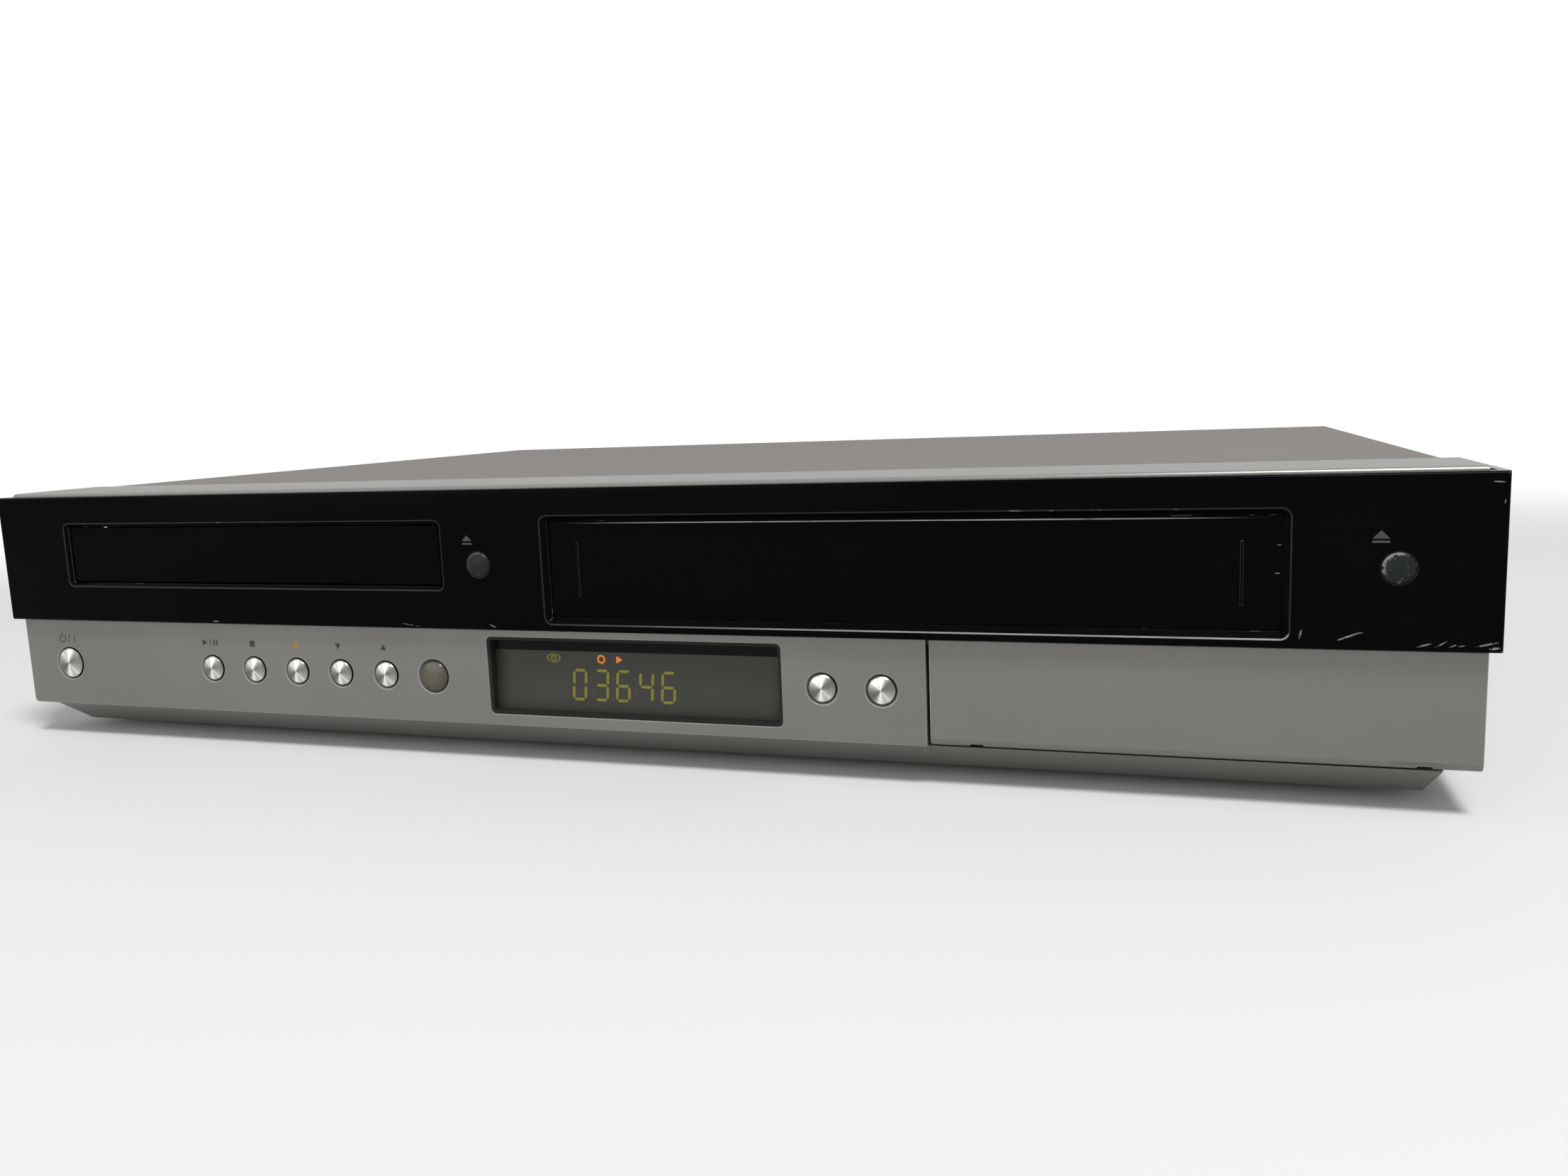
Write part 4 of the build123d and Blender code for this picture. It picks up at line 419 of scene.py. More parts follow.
zinc = bare_metal("zinc_plate", (0.56, 0.57, 0.56), 0.36)
bright = bare_metal("ground_steel", (0.72, 0.72, 0.71), 0.18, (0.0004, 0.0004, 0.02))
die_cast = bare_metal("die_cast", (0.42, 0.42, 0.41), 0.45, (0.002, 0.002, 0.002), 0.004)
drum_metal = bare_metal("turned_drum", (0.7, 0.7, 0.7), 0.22, (0.02, 0.02, 0.0003))
motor_steel = bare_metal("drawn_can", (0.52, 0.52, 0.51), 0.32, (0.0006, 0.02, 0.0006))
black_moulding = moulding("black_moulding", (0.016, 0.016, 0.017), 0.5)
white_moulding = moulding("acetal", (0.66, 0.65, 0.6), 0.42)
rubber = moulding("foot_rubber", (0.014, 0.014, 0.014), 0.75, 0.0006, 0.00005)
roller_rubber = moulding("roller_rubber", (0.03, 0.03, 0.03), 0.6)
rear_paint = sprayed("rear_paint", (0.03, 0.03, 0.031), 0.55, 0.1, 0.0004, 0.00004)
screw_black = bare_metal("screw_black", (0.06, 0.06, 0.06), 0.4)
print("plain finishes:", len(bpy.data.materials))

# %% [markdown]
# The circuit boards carry chips, switches and heat sinks in the same solid, so one finish has to
# change colour across them. Height above the board tells which is which: the board itself gets
# solder mask with pale tracks and tinned dots, and whatever stands above it turns black.


# %% Circuit boards
def circuit_board(name, mask_colour, track_colour, axis, surface, towards):
    """A board whose face is at a place on an axis, with its parts on the side it looks towards."""
    finish = Finish(name, mask_colour, 0.35)
    spot = finish.place()
    parts = (finish.axes(spot)[axis] - surface) * towards
    raised = parts.rise(0.00004, 0.0001)
    bands = finish.node("TexWave", {"bands_direction": "DIAGONAL"}, {"Vector": spot, "Scale": 260})
    tracks = bands.rise(0.6, 0.8) * finish.noise(spot, 0.008, 1).rise(0.52, 0.56)
    holes = finish.dots(spot, 0.004).rise(0.16, 0.1)
    flat = finish.blend(tracks * 0.6, mask_colour, track_colour)
    flat = finish.blend(holes, flat, (0.6, 0.6, 0.57))
    finish.paint(Base_Color=finish.blend(raised, flat, (0.02, 0.02, 0.021)))
    finish.paint(Metallic=holes * (1 - raised) * 0.8, Roughness=0.3 + raised * 0.25)
    finish.bump(tracks * (1 - raised), 0.00002)
    return finish


main_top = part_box("power_board")[1].z
BOARD_T = 1.6
front_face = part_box("front_board")[1].y - BOARD_T * MM
GREEN, PALE_GREEN = (0.02, 0.12, 0.045), (0.06, 0.24, 0.09)
green_board = circuit_board("green_board", GREEN, PALE_GREEN, 2, main_top, 1)
switch_board = circuit_board("switch_board", GREEN, PALE_GREEN, 1, front_face, -1)
brown_board = circuit_board("brown_board", (0.36, 0.2, 0.08), (0.5, 0.3, 0.13), 2, main_top, 1)
print("board faces at z", round(main_top, 4), "and y", round(front_face, 4))

# %% [markdown]
# The supply's parts share one solid too. A transformer is yellow tape round a grey core, the big
# capacitor is sleeved in blue-black, the heat sink is bare metal. Each is picked out by where
# it stands, as a block between two places along X.


# %% Power parts
def between(value, low, high, soft=0.0002):
    """1 between two places and 0 outside them."""
    return value.rise(low - soft, low) * value.rise(high + soft, high)


power_parts = Finish("power_parts", (0.03, 0.03, 0.034), 0.4)
power_spot = power_parts.place()
power_x, power_y, power_z = power_parts.axes(power_spot)
supply_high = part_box("power_parts")[1]
SINK_DEPTH, WOUND_X = 13 * MM, (-0.1645, -0.1395)
sink_front = supply_high.y - SINK_DEPTH
wound = between(power_x, *WOUND_X) * power_y.rise(sink_front, sink_front - MM)
sink = power_y.rise(sink_front - 0.5 * MM, sink_front) * power_x.rise(-0.176, -0.1745)
top_skin = power_z.rise(supply_high.z - 0.3 * MM, supply_high.z - 0.1 * MM)
tops = top_skin * power_x.rise(-0.17, -0.172)
colour = power_parts.blend(wound, (0.025, 0.03, 0.045), (0.5, 0.36, 0.05))
colour = power_parts.blend(sink | tops, colour, (0.5, 0.5, 0.49))
power_parts.paint(Base_Color=colour, Metallic=(sink | tops) * 0.9)
power_parts.bump(power_parts.noise(power_spot, 0.0008, 2), 0.00004)
print("power parts reach", round(supply_high.z, 4), "m")

# %% [markdown]
# The clock's window is a smoked lens over a grey display. From the front it reads as olive grey
# with a black band along its top. Smoke is made with alpha rather than with glass: light still
# reaches the display behind it, and the lens keeps its own gloss. The band only changes colour
# and alpha above one height, where the lens turns black and solid.

# %% Lens and display
BAND_Z, RIM_DEPTH, SMOKE = 0.0324, 5.55, 0.24
lens = Finish("smoked_lens", (0.05, 0.05, 0.045), 0.06, Specular_IOR_Level=0.06)
_, lens_y, lens_z = lens.axes(lens.place())
band = lens_z.rise(BAND_Z - 0.0001, BAND_Z + 0.0001)
rim = lens_y.rise(spot_at(0, RIM_DEPTH + 0.07, 0).y, spot_at(0, RIM_DEPTH, 0).y)
solid = band | rim
lens_smears = lens.noise(lens.place(), 0.01, 3)
lens_dark = lens.blend(rim, (0.003, 0.003, 0.0035), (0.022, 0.022, 0.021))
lens.paint(Base_Color=lens.blend(solid, (0.05, 0.05, 0.045), lens_dark))
lens.paint(Alpha=SMOKE + solid * (1 - SMOKE), Roughness=0.05 + lens_smears * 0.1 + rim * 0.3)

tube = Finish("display_glass", (0.115, 0.118, 0.098), 0.3)
tube_spot = tube.place()
mesh_lines = tube.node("TexWave", {"bands_direction": "Z"}, {"Vector": tube_spot, "Scale": 900})
tube_clouds = tube.noise(tube_spot, 0.012, 2)
tube_tone = tube_clouds * 0.7 + mesh_lines * 0.3
tube.paint(Base_Color=tube.blend(tube_tone, (0.165, 0.168, 0.145), (0.2, 0.203, 0.175)))
pale_dots = moulding("pale_dots", (0.42, 0.4, 0.38), 0.5)


def lit(name, colour, glow):
    """A lit phosphor: its colour, glowing, with the grain of the coating."""
    finish = Finish(name, colour, 0.5, Emission_Strength=glow)
    grain = finish.noise(finish.place(), 0.0002, 2).rise(0.3, 0.7)
    finish.paint(Emission_Color=finish.blend(grain, [c * 0.75 for c in colour], colour))
    return finish


olive_light = lit("olive_segments", (0.36, 0.33, 0.04), 0.85)
orange_light = lit("orange_signs", (1.0, 0.3, 0.03), 1.3)
unlit = Finish("unlit_segments", (0.19, 0.193, 0.165), 0.4)
unlit.bump(unlit.noise(unlit.place(), 0.0005, 2), 0.00001)
print("window band starts at", BAND_Z)

# %% [markdown]
# Printed and lit signs are flat shapes that face the front. Each is drawn in its own sheet
# with bmesh operators, x to the right and y up, in millimetres. Then one step gives the sheet
# a thickness and stands it upright at its depth, a hair in front of the surface it is on.


# %% Flat signs
def flat_matrix(x, z, turn=0.0, wide=1.0, high=1.0):
    """Scales, turns and moves a shape within the sheet."""
    turned = Matrix.Rotation(math.radians(turn), 4, "Z")
    return Matrix.Translation((x, z, 0)) @ turned @ Matrix.Diagonal((wide, high, 1, 1))


def bar(sheet, x, z, wide, high, turn=0.0):
    bmesh.ops.create_grid(
        sheet, x_segments=1, y_segments=1, size=0.5, matrix=flat_matrix(x, z, turn, wide, high)
    )


def round_spot(sheet, x, z, radius, corners=32, turn=0.0, flat=1.0):
    """A disc, or with three corners a triangle that points up before its turn."""
    bmesh.ops.create_circle(
        sheet,
        cap_ends=True,
        segments=corners,
        radius=radius,
        matrix=flat_matrix(x, z, turn, 1.0, flat),
    )


def hoop(sheet, x, z, radius, wide, sweep=360.0, flat=1.0, steps=40):
    """A ring, or an arc with its gap at the top."""
    start = math.radians(90 + (360 - sweep) / 2)
    way = Vector((math.cos(start), math.sin(start), 0))
    ends = [sheet.verts.new(way * (radius + side * wide / 2)) for side in (-1, 1)]
    edge = sheet.edges.new(ends)
    made = bmesh.ops.spin(
        sheet,
        geom=[*ends, edge],
        cent=(0, 0, 0),
        axis=(0, 0, 1),
        angle=math.radians(sweep),
        steps=steps,
        use_merge=sweep == 360.0,
    )
    last = {part for part in made["geom_last"] if isinstance(part, bmesh.types.BMVert)}
    verts = set(ends) | last
    linked = set(verts)
    while verts:
        verts = {v for old in verts for e in old.link_edges for v in e.verts} - linked
        linked |= verts
    moved = flat_matrix(x, z, 0, 1.0, flat)
    bmesh.ops.transform(sheet, matrix=moved, verts=[v for v in linked if v.is_valid])


def finished(name, shape, body, finish, smooth=False):
    """Turns a bmesh in metres into a piece that rides on a body."""
    bmesh.ops.recalc_face_normals(shape, faces=shape.faces)
    mesh = bpy.data.meshes.new(name)
    shape.to_mesh(mesh)
    shape.free()
    mesh.materials.append(finish.material if isinstance(finish, Finish) else finish)
    if smooth:
        mesh.shade_smooth()
        mesh.set_sharp_from_angle(angle=math.radians(32))
    piece = bpy.data.objects.new(name, mesh)
    bpy.context.scene.collection.objects.link(piece)
    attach(piece, body)
    return piece


def upright(name, sheet, depth, thick, finish):
    """Gives a sheet its thickness and stands it up on the unit with its front at a depth."""
    bmesh.ops.recalc_face_normals(sheet, faces=sheet.faces)
    for face in sheet.faces:
        if face.normal.z < 0:
            face.normal_flip()
    sides = bmesh.ops.extrude_face_region(sheet, geom=sheet.faces[:])
    back = [part for part in sides["geom"] if isinstance(part, bmesh.types.BMVert)]
    bmesh.ops.translate(sheet, vec=(0, 0, -thick), verts=back)
    stand = Matrix.Translation(spot_at(0, depth, 0)) @ Matrix.Rotation(math.pi / 2, 4, "X")
    bmesh.ops.transform(sheet, matrix=stand @ Matrix.Scale(MM, 4), verts=sheet.verts)
    finished(name, sheet, "unit", finish)


print("sheet helpers ready")

# %% [markdown]
# The clock shows a counter in plain seven-segment numbers. A segment is a bar whose four corners
# are cut off by a vertex bevel, which gives the pointed ends of a real one. Every digit has all
# seven segments, and those that are off stay faintly visible, as they do on such a display.

# %% Clock digits
DIGIT_HIGH, DIGIT_WIDE, SEGMENT = 8.4, 3.7, 0.8
DIGIT_Z, DIGIT_LEAN = 22.5, 0.085
DIGIT_PLACES = (("0", -12.7), ("3", -5.9), ("6", 0.8), ("4", 7.8), ("6", 14.5))
BARS = {
    "a": (0, 1, 0), "b": (0.5, 0.5, 90), "c": (0.5, -0.5, 90), "d": (0, -1, 0),
    "e": (-0.5, -0.5, 90), "f": (-0.5, 0.5, 90), "g": (0, 0, 0),
}
LIT_BARS = {"0": "abcdef", "3": "abcdg", "4": "bcfg", "6": "acdefg"}
DISPLAY_DEPTH, LIT_T, UNLIT_T = 7.08, 0.03, 0.02
SIGN_ROW = 30.0


def segment(sheet, x, z, long, turn):
    verts = bmesh.ops.create_grid(
        sheet,
        x_segments=1,
        y_segments=1,
        size=0.5,
        matrix=flat_matrix(x, z, turn, long, SEGMENT),
    )["verts"]
    bmesh.ops.bevel(
        sheet,
        geom=verts,
        offset=SEGMENT * 0.42,
        affect="VERTICES",
        segments=1,
        profile=0.5,
        material=-1,
    )


def digits(wanted):
    """One sheet with the lit bars of every digit, or with the ones that are off."""
    sheet = bmesh.new()
    for number, x in DIGIT_PLACES:
        for letter, (across, up, turn) in BARS.items():
            if (letter in LIT_BARS[number]) != wanted:
                continue
            long = DIGIT_WIDE - 0.5 if turn == 0 else DIGIT_HIGH / 2 - 0.7
            segment(sheet, x + across * DIGIT_WIDE, DIGIT_Z + up * DIGIT_HIGH / 2, long, turn)
    lean = Matrix.Identity(4)
    lean[0][1], lean[0][3] = DIGIT_LEAN, -DIGIT_LEAN * DIGIT_Z
    bmesh.ops.transform(sheet, matrix=lean, verts=sheet.verts)
    return sheet


upright("clock_digits", digits(True), DISPLAY_DEPTH, LIT_T, olive_light)
upright("clock_digits_off", digits(False), DISPLAY_DEPTH, UNLIT_T, unlit)

signs = bmesh.new()
round_spot(signs, -0.3, SIGN_ROW, 1.25, corners=3, turn=-90)
hoop(signs, -5.6, SIGN_ROW, 1.0, 0.5)
upright("clock_play_sign", signs, DISPLAY_DEPTH, LIT_T, orange_light)

signs = bmesh.new()
hoop(signs, -20.5, SIGN_ROW, 1.95, 0.35, flat=0.6)
hoop(signs, -20.5, SIGN_ROW, 0.7, 0.35)
upright("clock_disc_sign", signs, DISPLAY_DEPTH, LIT_T, olive_light)

colons = bmesh.new()
for x in (-9.1, 4.3):
    for z in (20.3, 24.7):
        round_spot(colons, x, z, 0.28, 12)
upright("clock_colons", colons, DISPLAY_DEPTH, LIT_T, pale_dots)
print("digits:", "".join(number for number, x in DIGIT_PLACES))

# %% [markdown]
# The signs over the buttons are screen-printed: thin, matt and slightly uneven ink. Power, play
# and pause, stop, record, down, up and the two eject signs are the plain ones found on any such
# machine.

# %% Printed signs
grey_ink = moulding("grey_ink", (0.028, 0.028, 0.026), 0.7, 0.0002)
pale_ink = moulding("pale_ink", (0.036, 0.037, 0.036), 0.6, 0.0002)
orange_ink = moulding("orange_ink", (0.32, 0.19, 0.045), 0.6, 0.0002)
PANEL_INK_DEPTH, FRONT_INK_DEPTH, INK = 2.78, -0.02, 0.015
ROW, SLANT = 32.5, -18

ink = bmesh.new()
hoop(ink, -197.6, ROW, 1.25, 0.34, sweep=290)
bar(ink, -197.6, ROW + 1.0, 0.34, 1.7)
bar(ink, -195.0, ROW, 0.28, 3.0, SLANT)
bar(ink, -192.7, ROW, 0.34, 2.6)
round_spot(ink, -140.0, ROW, 1.2, corners=3, turn=-90)
bar(ink, -137.6, ROW, 0.24, 2.6, SLANT)
for x in (-136.2, -135.1):
    bar(ink, x, ROW, 0.55, 1.9)
bar(ink, -121.7, ROW, 1.9, 1.9)
round_spot(ink, -90.3, ROW + 0.2, 1.2, corners=3, turn=180)
round_spot(ink, -74.3, ROW - 0.2, 1.2, corners=3)
upright("panel_signs", ink, PANEL_INK_DEPTH, INK, grey_ink)

ink = bmesh.new()
round_spot(ink, -105.5, ROW, 1.05)
upright("record_sign", ink, PANEL_INK_DEPTH, INK, orange_ink)

ink = bmesh.new()
EJECT_BAR_Z, EJECT_POINT_Z = 63.4, 64.7
for x, size in ((-41.4, 0.9), (190.2, 1.05)):
    round_spot(ink, x, EJECT_POINT_Z, 2.0 * size, corners=3, flat=0.6)
    bar(ink, x, EJECT_BAR_Z, 3.4 * size, 0.5 * size)
upright("eject_signs", ink, FRONT_INK_DEPTH, INK, pale_ink)
print("ink thickness", INK, "mm")

# %% [markdown]
# A solid part has knife-sharp edges. On the real front every edge has a small radius, and that
# radius catches the light in fine bright lines round the openings. So the front parts are copied,
# the loose triangles joined into clean faces, and the outward edges near the front bevelled. The
# bevels and the top strip of the rolled front edge take a paler edge finish, a painted highlight
# that brightens those lines. A weighted-normal modifier keeps the large faces flat beside their
# new edges.


# %% Eased front edges
NOSE_Z, NOSE_BACK = 0.0786, spot_at(0, 4.2, 0).y


def eased(node, body, finish, edge_finish, width, reach):
    """Puts a copy with bevelled front edges, painted brighter as a highlight, in the place of a
    part.
    """
    shape = bmesh.new()
    shape.from_mesh(nodes[node].data)
    bmesh.ops.remove_doubles(shape, verts=shape.verts, dist=0.000002)
    bmesh.ops.dissolve_limit(
        shape, angle_limit=math.radians(0.6), verts=shape.verts, edges=shape.edges
    )
    limit = spot_at(0, reach, 0).y
    sharp = [
        edge
        for edge in shape.edges
        if edge.is_manifold
        and edge.is_convex
        and edge.calc_face_angle() > math.radians(28)
        and max(vert.co.y for vert in edge.verts) < limit
    ]
    bevelled = bmesh.ops.bevel(
        shape,
        geom=sharp,
        offset=width * MM,
        affect="EDGES",
        segments=2,
        profile=0.5,
        material=-1,
    )
    # The bevel faces and the rolled top strip take the edge finish, which paints a highlight.
    for face in bevelled["faces"]:
        face.material_index = 1
    for face in shape.faces:
        if face.calc_center_median().z > NOSE_Z and face.calc_center_median().y < NOSE_BACK:
            face.material_index = 1
    piece = finished(node + "_eased", shape, body, finish, smooth=True)
    piece.data.materials.append(edge_finish.material)
    piece.modifiers.new("flat_faces", "WEIGHTED_NORMAL").keep_sharp = True
    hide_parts(node)
    print(node, "edges eased:", len(sharp))


eased("black_fascia", "unit", front_black, black_edge, 0.22, 2.7)
eased("front_bezel", "unit", silver, silver_highlight, 0.2, 4.2)
eased("input_door", "input_door", silver, silver_highlight, 0.22, 4.2)
eased("cassette_flap", "cassette_flap", flap_black, black_edge, 0.2, 4.0)

# %% [markdown]
# Sockets are turned parts: a plated shell, and a coloured ring that says which lead goes where.
# One profile spun round the socket's axis makes each. The profile is a closed outline of radius
# and depth, so the turned piece is closed as well.

# %% Turned pieces round an axis that points at the viewer
RING_COLOURS = {
    "yellow": (0.62, 0.44, 0.02), "white": (0.66, 0.66, 0.63), "red": (0.45, 0.02, 0.02),
    "green": (0.03, 0.3, 0.05), "blue": (0.02, 0.08, 0.42), "orange": (0.55, 0.18, 0.02),
}
ring_finish = {name: moulding("ring_" + name, tone, 0.35) for name, tone in RING_COLOURS.items()}
JACK_BORE, SHELL_OUTER, RING_OUTER = 4.17, 4.32, 6.0
TURNED_STEPS = 40


def turned(shape, x, z, outline):
    """Adds an outline of (radius, depth) pairs in millimetres, spun round the axis at x, z."""
    verts = [shape.verts.new(spot_at(x + radius, depth, z)) for radius, depth in outline]
    edges = [shape.edges.new(pair) for pair in zip(verts, verts[1:] + verts[:1])]
    bmesh.ops.spin(
        shape,
        geom=verts + edges,
        cent=spot_at(x, 0, z),
        axis=(0, 1, 0),
        angle=2 * math.pi,
        steps=TURNED_STEPS,
        use_merge=True,
    )


def tube_outline(inner, outer, start, end, edge=0.15):
    """A tube's section with its outer end corners cut off."""
    return (
        (inner, start), (outer - edge, start), (outer, start + edge),
        (outer, end - edge), (outer - edge, end), (inner, end),
    )


def tubes(name, places, inner, outer, start, end, finish, slot_name):
    """One piece on the unit with a tube at each place, from a start depth to an end depth."""
    shape = bmesh.new()
    for x, z in places:
        turned(shape, x, z, tube_outline(inner, outer, start, end))
    bmesh.ops.remove_doubles(shape, verts=shape.verts, dist=0.000001)
    finished(name, shape, "unit", finish, smooth=True)


REAR, RING_T, REAR_JACK_LONG = 315.0, 0.9, 8.0
COLUMNS = VIDEO, LEFT, RIGHT, COLOUR = -84.0, -70.0, -56.0, -42.0
ROWS = LOW, HIGH = 26.0, 42.0
rear_jacks = [(x, z) for x in COLUMNS for z in ROWS]
jack_ends = (REAR + RING_T, REAR + REAR_JACK_LONG)
tubes("rear_jack_shells", rear_jacks, JACK_BORE, SHELL_OUTER, *jack_ends, bright, "bright_steel")
REAR_RINGS = {
    "yellow": [(VIDEO, HIGH)], "white": [(LEFT, HIGH), (LEFT, LOW)],
    "red": [(RIGHT, HIGH), (RIGHT, LOW)], "green": [(COLOUR, HIGH)], "blue": [(COLOUR, LOW)],
    "orange": [(VIDEO, LOW)],
}
ring = (JACK_BORE, RING_OUTER, REAR, REAR + RING_T)
for tone, places in REAR_RINGS.items():
    tubes("rear_ring_" + tone, places, *ring, ring_finish[tone], "white_moulding")

JACK_Z, JACK_START, RING_START, RING_END = 24.5, 7.0, 12.1, 12.5
front_jacks = (("yellow", 150.0), ("white", 166.0), ("red", 182.0))
shells = [(x, JACK_Z) for tone, x in front_jacks]
shell = (JACK_BORE, SHELL_OUTER, JACK_START, RING_START)
tubes("front_jack_shells", shells, *shell, bright, "bright_steel")
ring = (JACK_BORE, RING_OUTER, RING_START, RING_END)
for tone, x in front_jacks:
    tubes("front_ring_" + tone, [(x, JACK_Z)], *ring, ring_finish[tone], "white_moulding")
tubes("s_video_shell", [(124.0, JACK_Z)], 5.5, 6.9, 11.2, 11.5, bright, "bright_steel")

INLET_X, INLET_Z, PIN_APART = -187.0, 30.0, 4.3
pins = [(INLET_X + side * PIN_APART, INLET_Z) for side in (-1, 1)]
tubes("inlet_pin_sleeves", pins, 1.21, 1.3, REAR - 9.3, REAR - 0.3, bright, "bright_steel")
print("socket shells:", len(rear_jacks) + len(shells))

# %% [markdown]
# The case is held by blackened pan-head screws. The head is turned in one go from a profile,
# then a cross is cut into it. Cutting wants a boolean, so a modifier does it once on one screw,
# and the other six are copies turned to their holes.

# %% Case screws with cross recesses
HEAD_R, HEAD_T, SHANK_R, SHANK = 3.2, 1.6, 1.4, 6.0


def screw_mesh():
    """One screw at the origin in millimetres, its head towards -Y and its seat at y 0."""
    shape = bmesh.new()
    outline = (
        (0, -HEAD_T), (1.2, -HEAD_T * 0.97), (2.2, -HEAD_T * 0.82), (2.8, -HEAD_T * 0.58),
        (HEAD_R, -HEAD_T * 0.2), (HEAD_R, 0), (SHANK_R, 0), (SHANK_R, SHANK - 0.4),
        (SHANK_R - 0.4, SHANK), (0, SHANK),
    )
    verts = [shape.verts.new((radius, y, 0)) for radius, y in outline]
    edges = [shape.edges.new(pair) for pair in zip(verts, verts[1:])]
    bmesh.ops.spin(
        shape,
        geom=verts + edges,
        cent=(0, 0, 0),
        axis=(0, 1, 0),
        angle=2 * math.pi,
        steps=32,
        use_merge=True,
    )
    bmesh.ops.remove_doubles(shape, verts=shape.verts, dist=0.0005)
    bmesh.ops.recalc_face_normals(shape, faces=shape.faces)
    head = bpy.data.objects.new("screw_blank", bpy.data.meshes.new("screw_blank"))
    shape.to_mesh(head.data)
    shape.free()
    cross = bmesh.new()
    arm = Matrix.Translation((0, -HEAD_T, 0)) @ Matrix.Rotation(math.radians(45), 4, "Y")
    for size in ((3.0, 1.8, 0.62), (0.62, 1.8, 3.0)):
        bmesh.ops.create_cube(cross, size=1, matrix=arm @ Matrix.Diagonal((*size, 1)))
    cutter = bpy.data.objects.new("cross_cutter", bpy.data.meshes.new("cross_cutter"))
    cross.to_mesh(cutter.data)
    cross.free()
    for made in (head, cutter):
        bpy.context.scene.collection.objects.link(made)
    cut = head.modifiers.new("cross", "BOOLEAN")
    cut.operation, cut.object, cut.solver, cut.use_self = "DIFFERENCE", cutter, "EXACT", True
    view = bpy.context.evaluated_depsgraph_get()
    mesh = bpy.data.meshes.new_from_object(head.evaluated_get(view))
    for made in (head, cutter):
        bpy.data.objects.remove(made)
    return mesh


SIDE_X, SIDE_Z, SIDE_DEPTHS = 210.0, 14.0, (70.0, 270.0)
BACK_Z, BACK_X = 72.0, (-190.0, 0.0, 190.0)
one_screw = screw_mesh()
screw_places = [
    (spot_at(side * SIDE_X, depth, SIDE_Z), side * 90)
    for side in (-1, 1)
    for depth in SIDE_DEPTHS
]
screw_places += [(spot_at(x, REAR, BACK_Z), 180) for x in BACK_X]
screws = bmesh.new()
for place, turn in screw_places:
    fresh = bmesh.new()
    fresh.from_mesh(one_screw)
    seat = Matrix.Translation(place) @ Matrix.Rotation(math.radians(turn), 4, "Z")
    bmesh.ops.transform(fresh, matrix=seat @ Matrix.Scale(MM, 4), verts=fresh.verts)
    joined = bpy.data.meshes.new("screw_copy")
    fresh.to_mesh(joined)
    fresh.free()
    screws.from_mesh(joined)
case_screws = finished("case_screw_set", screws, "unit", screw_black, smooth=True)
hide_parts("case_screws")
print("screws:", len(screw_places))

# %% [markdown]
# Now every solid part that stays gets its finish. The list pairs each finish with the parts
# made of it.

# %% Finishes on the solid parts
PARTS_OF = {
    door_black: ["tray_door"],
    cover_paint.material: ["top_cover"],
    rear_paint.material: ["rear_panel"],
    lens.material: ["display_window"],
    tube.material: ["display_module"],
    switch_board.material: ["front_board"],
    green_board.material: ["main_board"],
    brown_board.material: ["power_board"],
    power_parts.material: ["power_parts"],
    rubber.material: ["feet"],
    roller_rubber.material: ["pinch_roller"],
    zinc.material: [
        "bottom_chassis", "drive_bridge", "traverse", "deck_base", "deck_side_rails",
        "holder_carriage", "cassette_holder", "pinch_arm", "tape_heads", "tuner",
    ],
    bright.material: ["sled_rods", "lead_screw", "capstan", "tape_posts"],
    die_cast.material: ["pickup_sled", "supply_guide", "take_up_guide"],
    drum_metal.material: ["lower_drum", "head_drum"],
    motor_steel.material: ["small_motors"],
    white_moulding.material: [
        "disc_clamper", "turntable", "tray_gear", "supply_reel", "take_up_reel",
    ],
    black_moulding.material: [
        "drive_frame", "disc_tray", "front_sockets", "scart_sockets", "phono_sockets",
        "mains_inlet", "fan_frame", "fan_rotor",
    ],
}
for name, material in button_finish.items():
    PARTS_OF[material] = [name]
for material, names in PARTS_OF.items():
    for name in names:
        nodes[name].data.materials.clear()
        nodes[name].data.materials.append(material)
shown = [name for name, node in nodes.items() if not node.hide_render]
print("parts given a finish:", sum(len(names) for names in PARTS_OF.values()), "of", len(shown))

# %% [markdown]
# The stage is a pale floor that runs into a white background. The floor keeps the shadow near
# the machine and fades to plain white further off. The world is white where the camera, a
# reflection or glass looks at it, and softer as light.

# %% Floor and world
FADE_START, FADE_END, AMBIENT = 0.45, 0.95, 0.4
floor_shape = bmesh.new()
bmesh.ops.create_grid(floor_shape, x_segments=1, y_segments=1, size=6.0)
floor_mesh = bpy.data.meshes.new("floor")
floor_shape.to_mesh(floor_mesh)
floor_shape.free()
floor = bpy.data.objects.new("floor", floor_mesh)
bpy.context.scene.collection.objects.link(floor)
pale = Finish("pale_floor", (0.86, 0.86, 0.85), 0.8)
reach = pale.length(pale.place())
seen = pale.node("LightPath", out="Is Camera Ray")
white = pale.node("Emission", {}, {"Color": (1, 1, 1, 1), "Strength": 1.0})
mixed = pale.node("MixShader", {}, {0: reach.rise(FADE_START, FADE_END) * seen, 2: white})
pale.tree.links.new(pale.shader.outputs[0], mixed.socket.node.inputs[1])
pale.tree.links.new(mixed.socket, pale.tree.nodes["Material Output"].inputs[0])
floor_mesh.materials.append(pale.material)

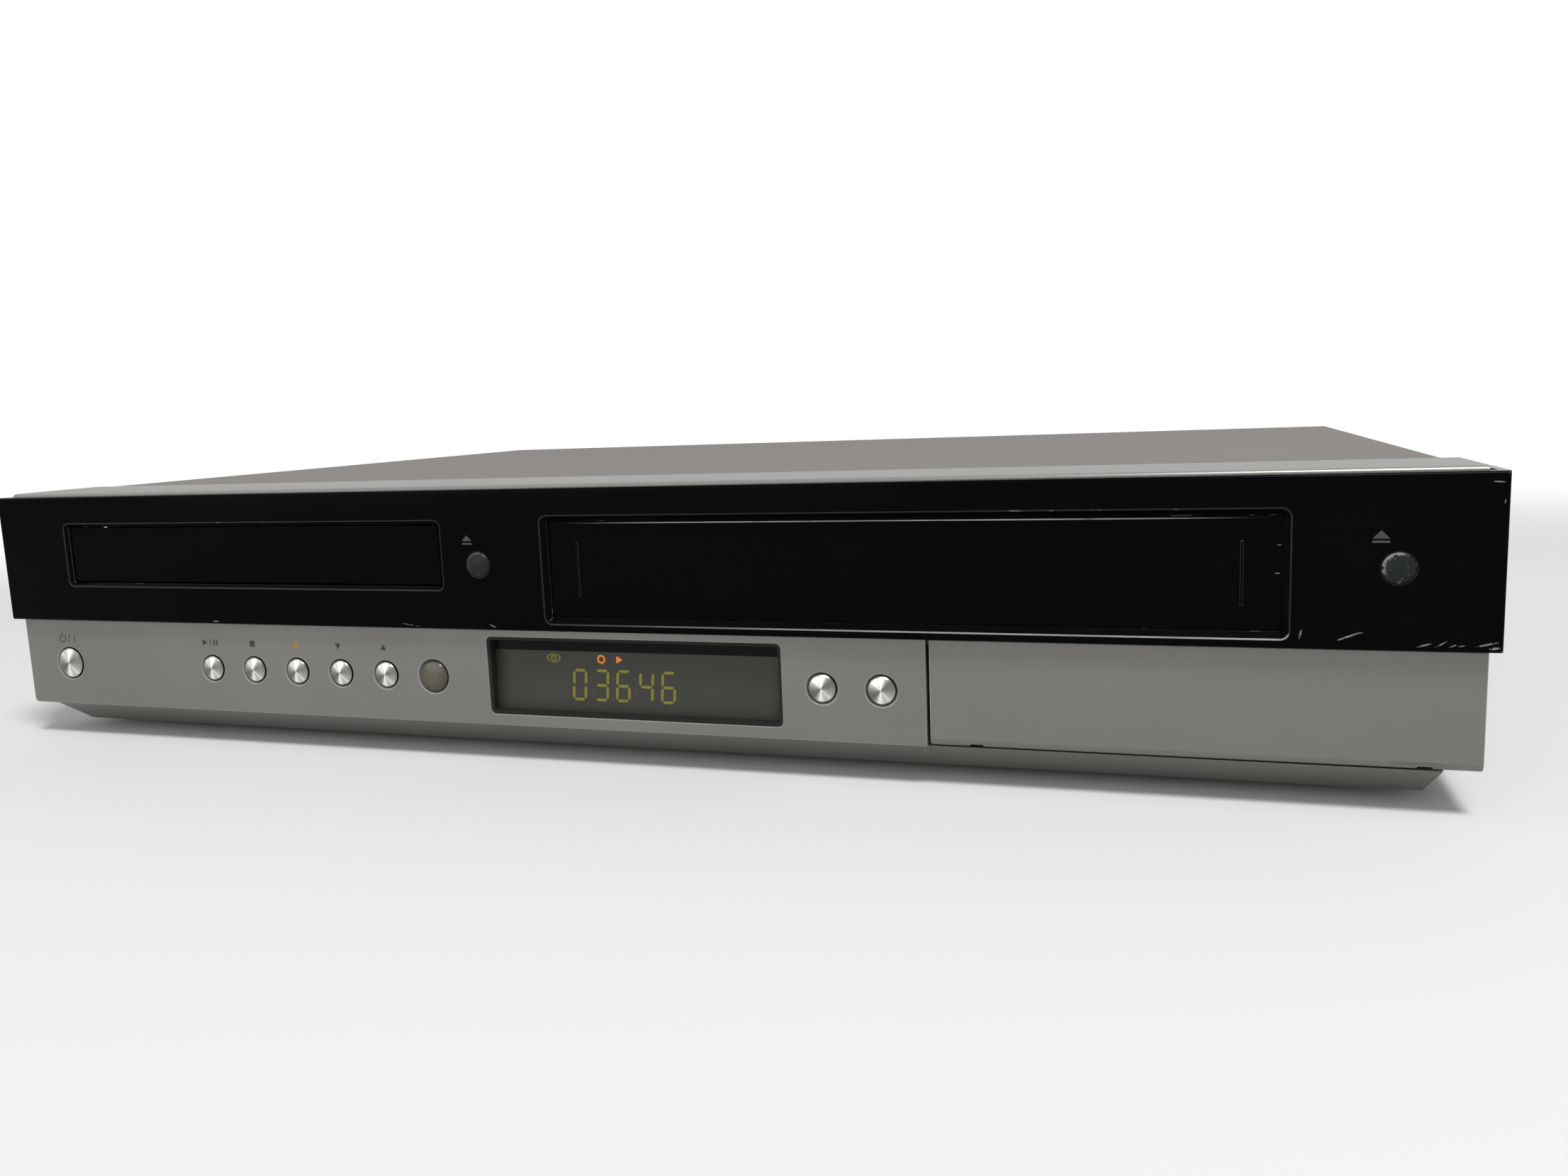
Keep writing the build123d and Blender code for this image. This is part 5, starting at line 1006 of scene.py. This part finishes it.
world = bpy.data.worlds.new("studio")
bpy.context.scene.world = world
world.use_nodes = True
air = world.node_tree
ambient = air.nodes["Background"]
ambient.inputs[0].default_value, ambient.inputs[1].default_value = (1, 1, 1, 1), AMBIENT
path = air.nodes.new("ShaderNodeLightPath")
backdrop = air.nodes.new("ShaderNodeBackground")
backdrop.inputs[0].default_value, backdrop.inputs[1].default_value = (1, 1, 1, 1), 1.0
rays = path.outputs["Is Camera Ray"]
for other in ("Is Glossy Ray", "Is Transmission Ray"):
    either = air.nodes.new("ShaderNodeMath")
    either.operation = "MAXIMUM"
    air.links.new(rays, either.inputs[0])
    air.links.new(path.outputs[other], either.inputs[1])
    rays = either.outputs[0]
choice = air.nodes.new("ShaderNodeMixShader")
air.links.new(rays, choice.inputs[0])
air.links.new(ambient.outputs[0], choice.inputs[1])
air.links.new(backdrop.outputs[0], choice.inputs[2])
air.links.new(choice.outputs[0], air.nodes["World Output"].inputs[0])
print("ambient strength", AMBIENT)

# %% [markdown]
# Soft studio light: one panel above and to the right, which draws the line along the rolled
# front edge, together with the painted highlight on that edge, and the shadow under the black
# front. A weaker, broader one stands low on the left and lifts the sloping skirt, which faces the
# floor.


# %% Lamps
def panel(name, place, aim, size, power):
    """A square area light at a place, turned to face another."""
    data = bpy.data.lights.new(name, "AREA")
    data.size, data.energy = size, power
    lamp = bpy.data.objects.new(name, data)
    lamp.location = place
    lamp.rotation_euler = (Vector(aim) - Vector(place)).to_track_quat("-Z", "Y").to_euler()
    bpy.context.scene.collection.objects.link(lamp)
    print(name, power, "W")


KEY_WATTS, FILL_WATTS = 24, 8
panel("key_panel", (0.5, -0.85, 1.75), (0.05, -0.05, 0.04), 0.5, KEY_WATTS)
panel("fill_panel", (-0.9, -1.7, 0.22), (-0.05, -0.05, 0.04), 1.2, FILL_WATTS)

# %% [markdown]
# The camera stands close in front of the right half and looks left and a little down, rolled by
# two degrees, as the hand-held picture was. Its three directions are worked out from those
# angles and written straight into its matrix.

# %% Camera
CAMERA_PLACE = (0.15031, FACE - 0.29414, 0.09801)
TURN, DOWN, ROLL = math.radians(-18.57), math.radians(8.47), math.radians(-2.27)
FOCAL_PIXELS, IMAGE_WIDE = 1723.24, 2212

ahead = Vector(
    (math.sin(TURN) * math.cos(DOWN), math.cos(TURN) * math.cos(DOWN), -math.sin(DOWN))
)
level = Vector((math.cos(TURN), -math.sin(TURN), 0))
above = level.cross(ahead)
right = level * math.cos(ROLL) + above * math.sin(ROLL)
up = above * math.cos(ROLL) - level * math.sin(ROLL)
camera = bpy.data.objects.new("camera", bpy.data.cameras.new("camera"))
camera.data.sensor_width = 36.0
camera.data.lens = camera.data.sensor_width * FOCAL_PIXELS / IMAGE_WIDE
turn = Matrix((right, up, -ahead)).transposed().to_4x4()
camera.matrix_world = Matrix.Translation(CAMERA_PLACE) @ turn
camera.data.clip_start = 0.01
bpy.context.scene.collection.objects.link(camera)
bpy.context.scene.camera = camera
bpy.context.scene.view_settings.view_transform = "Standard"
print("lens", round(camera.data.lens, 2), "mm")
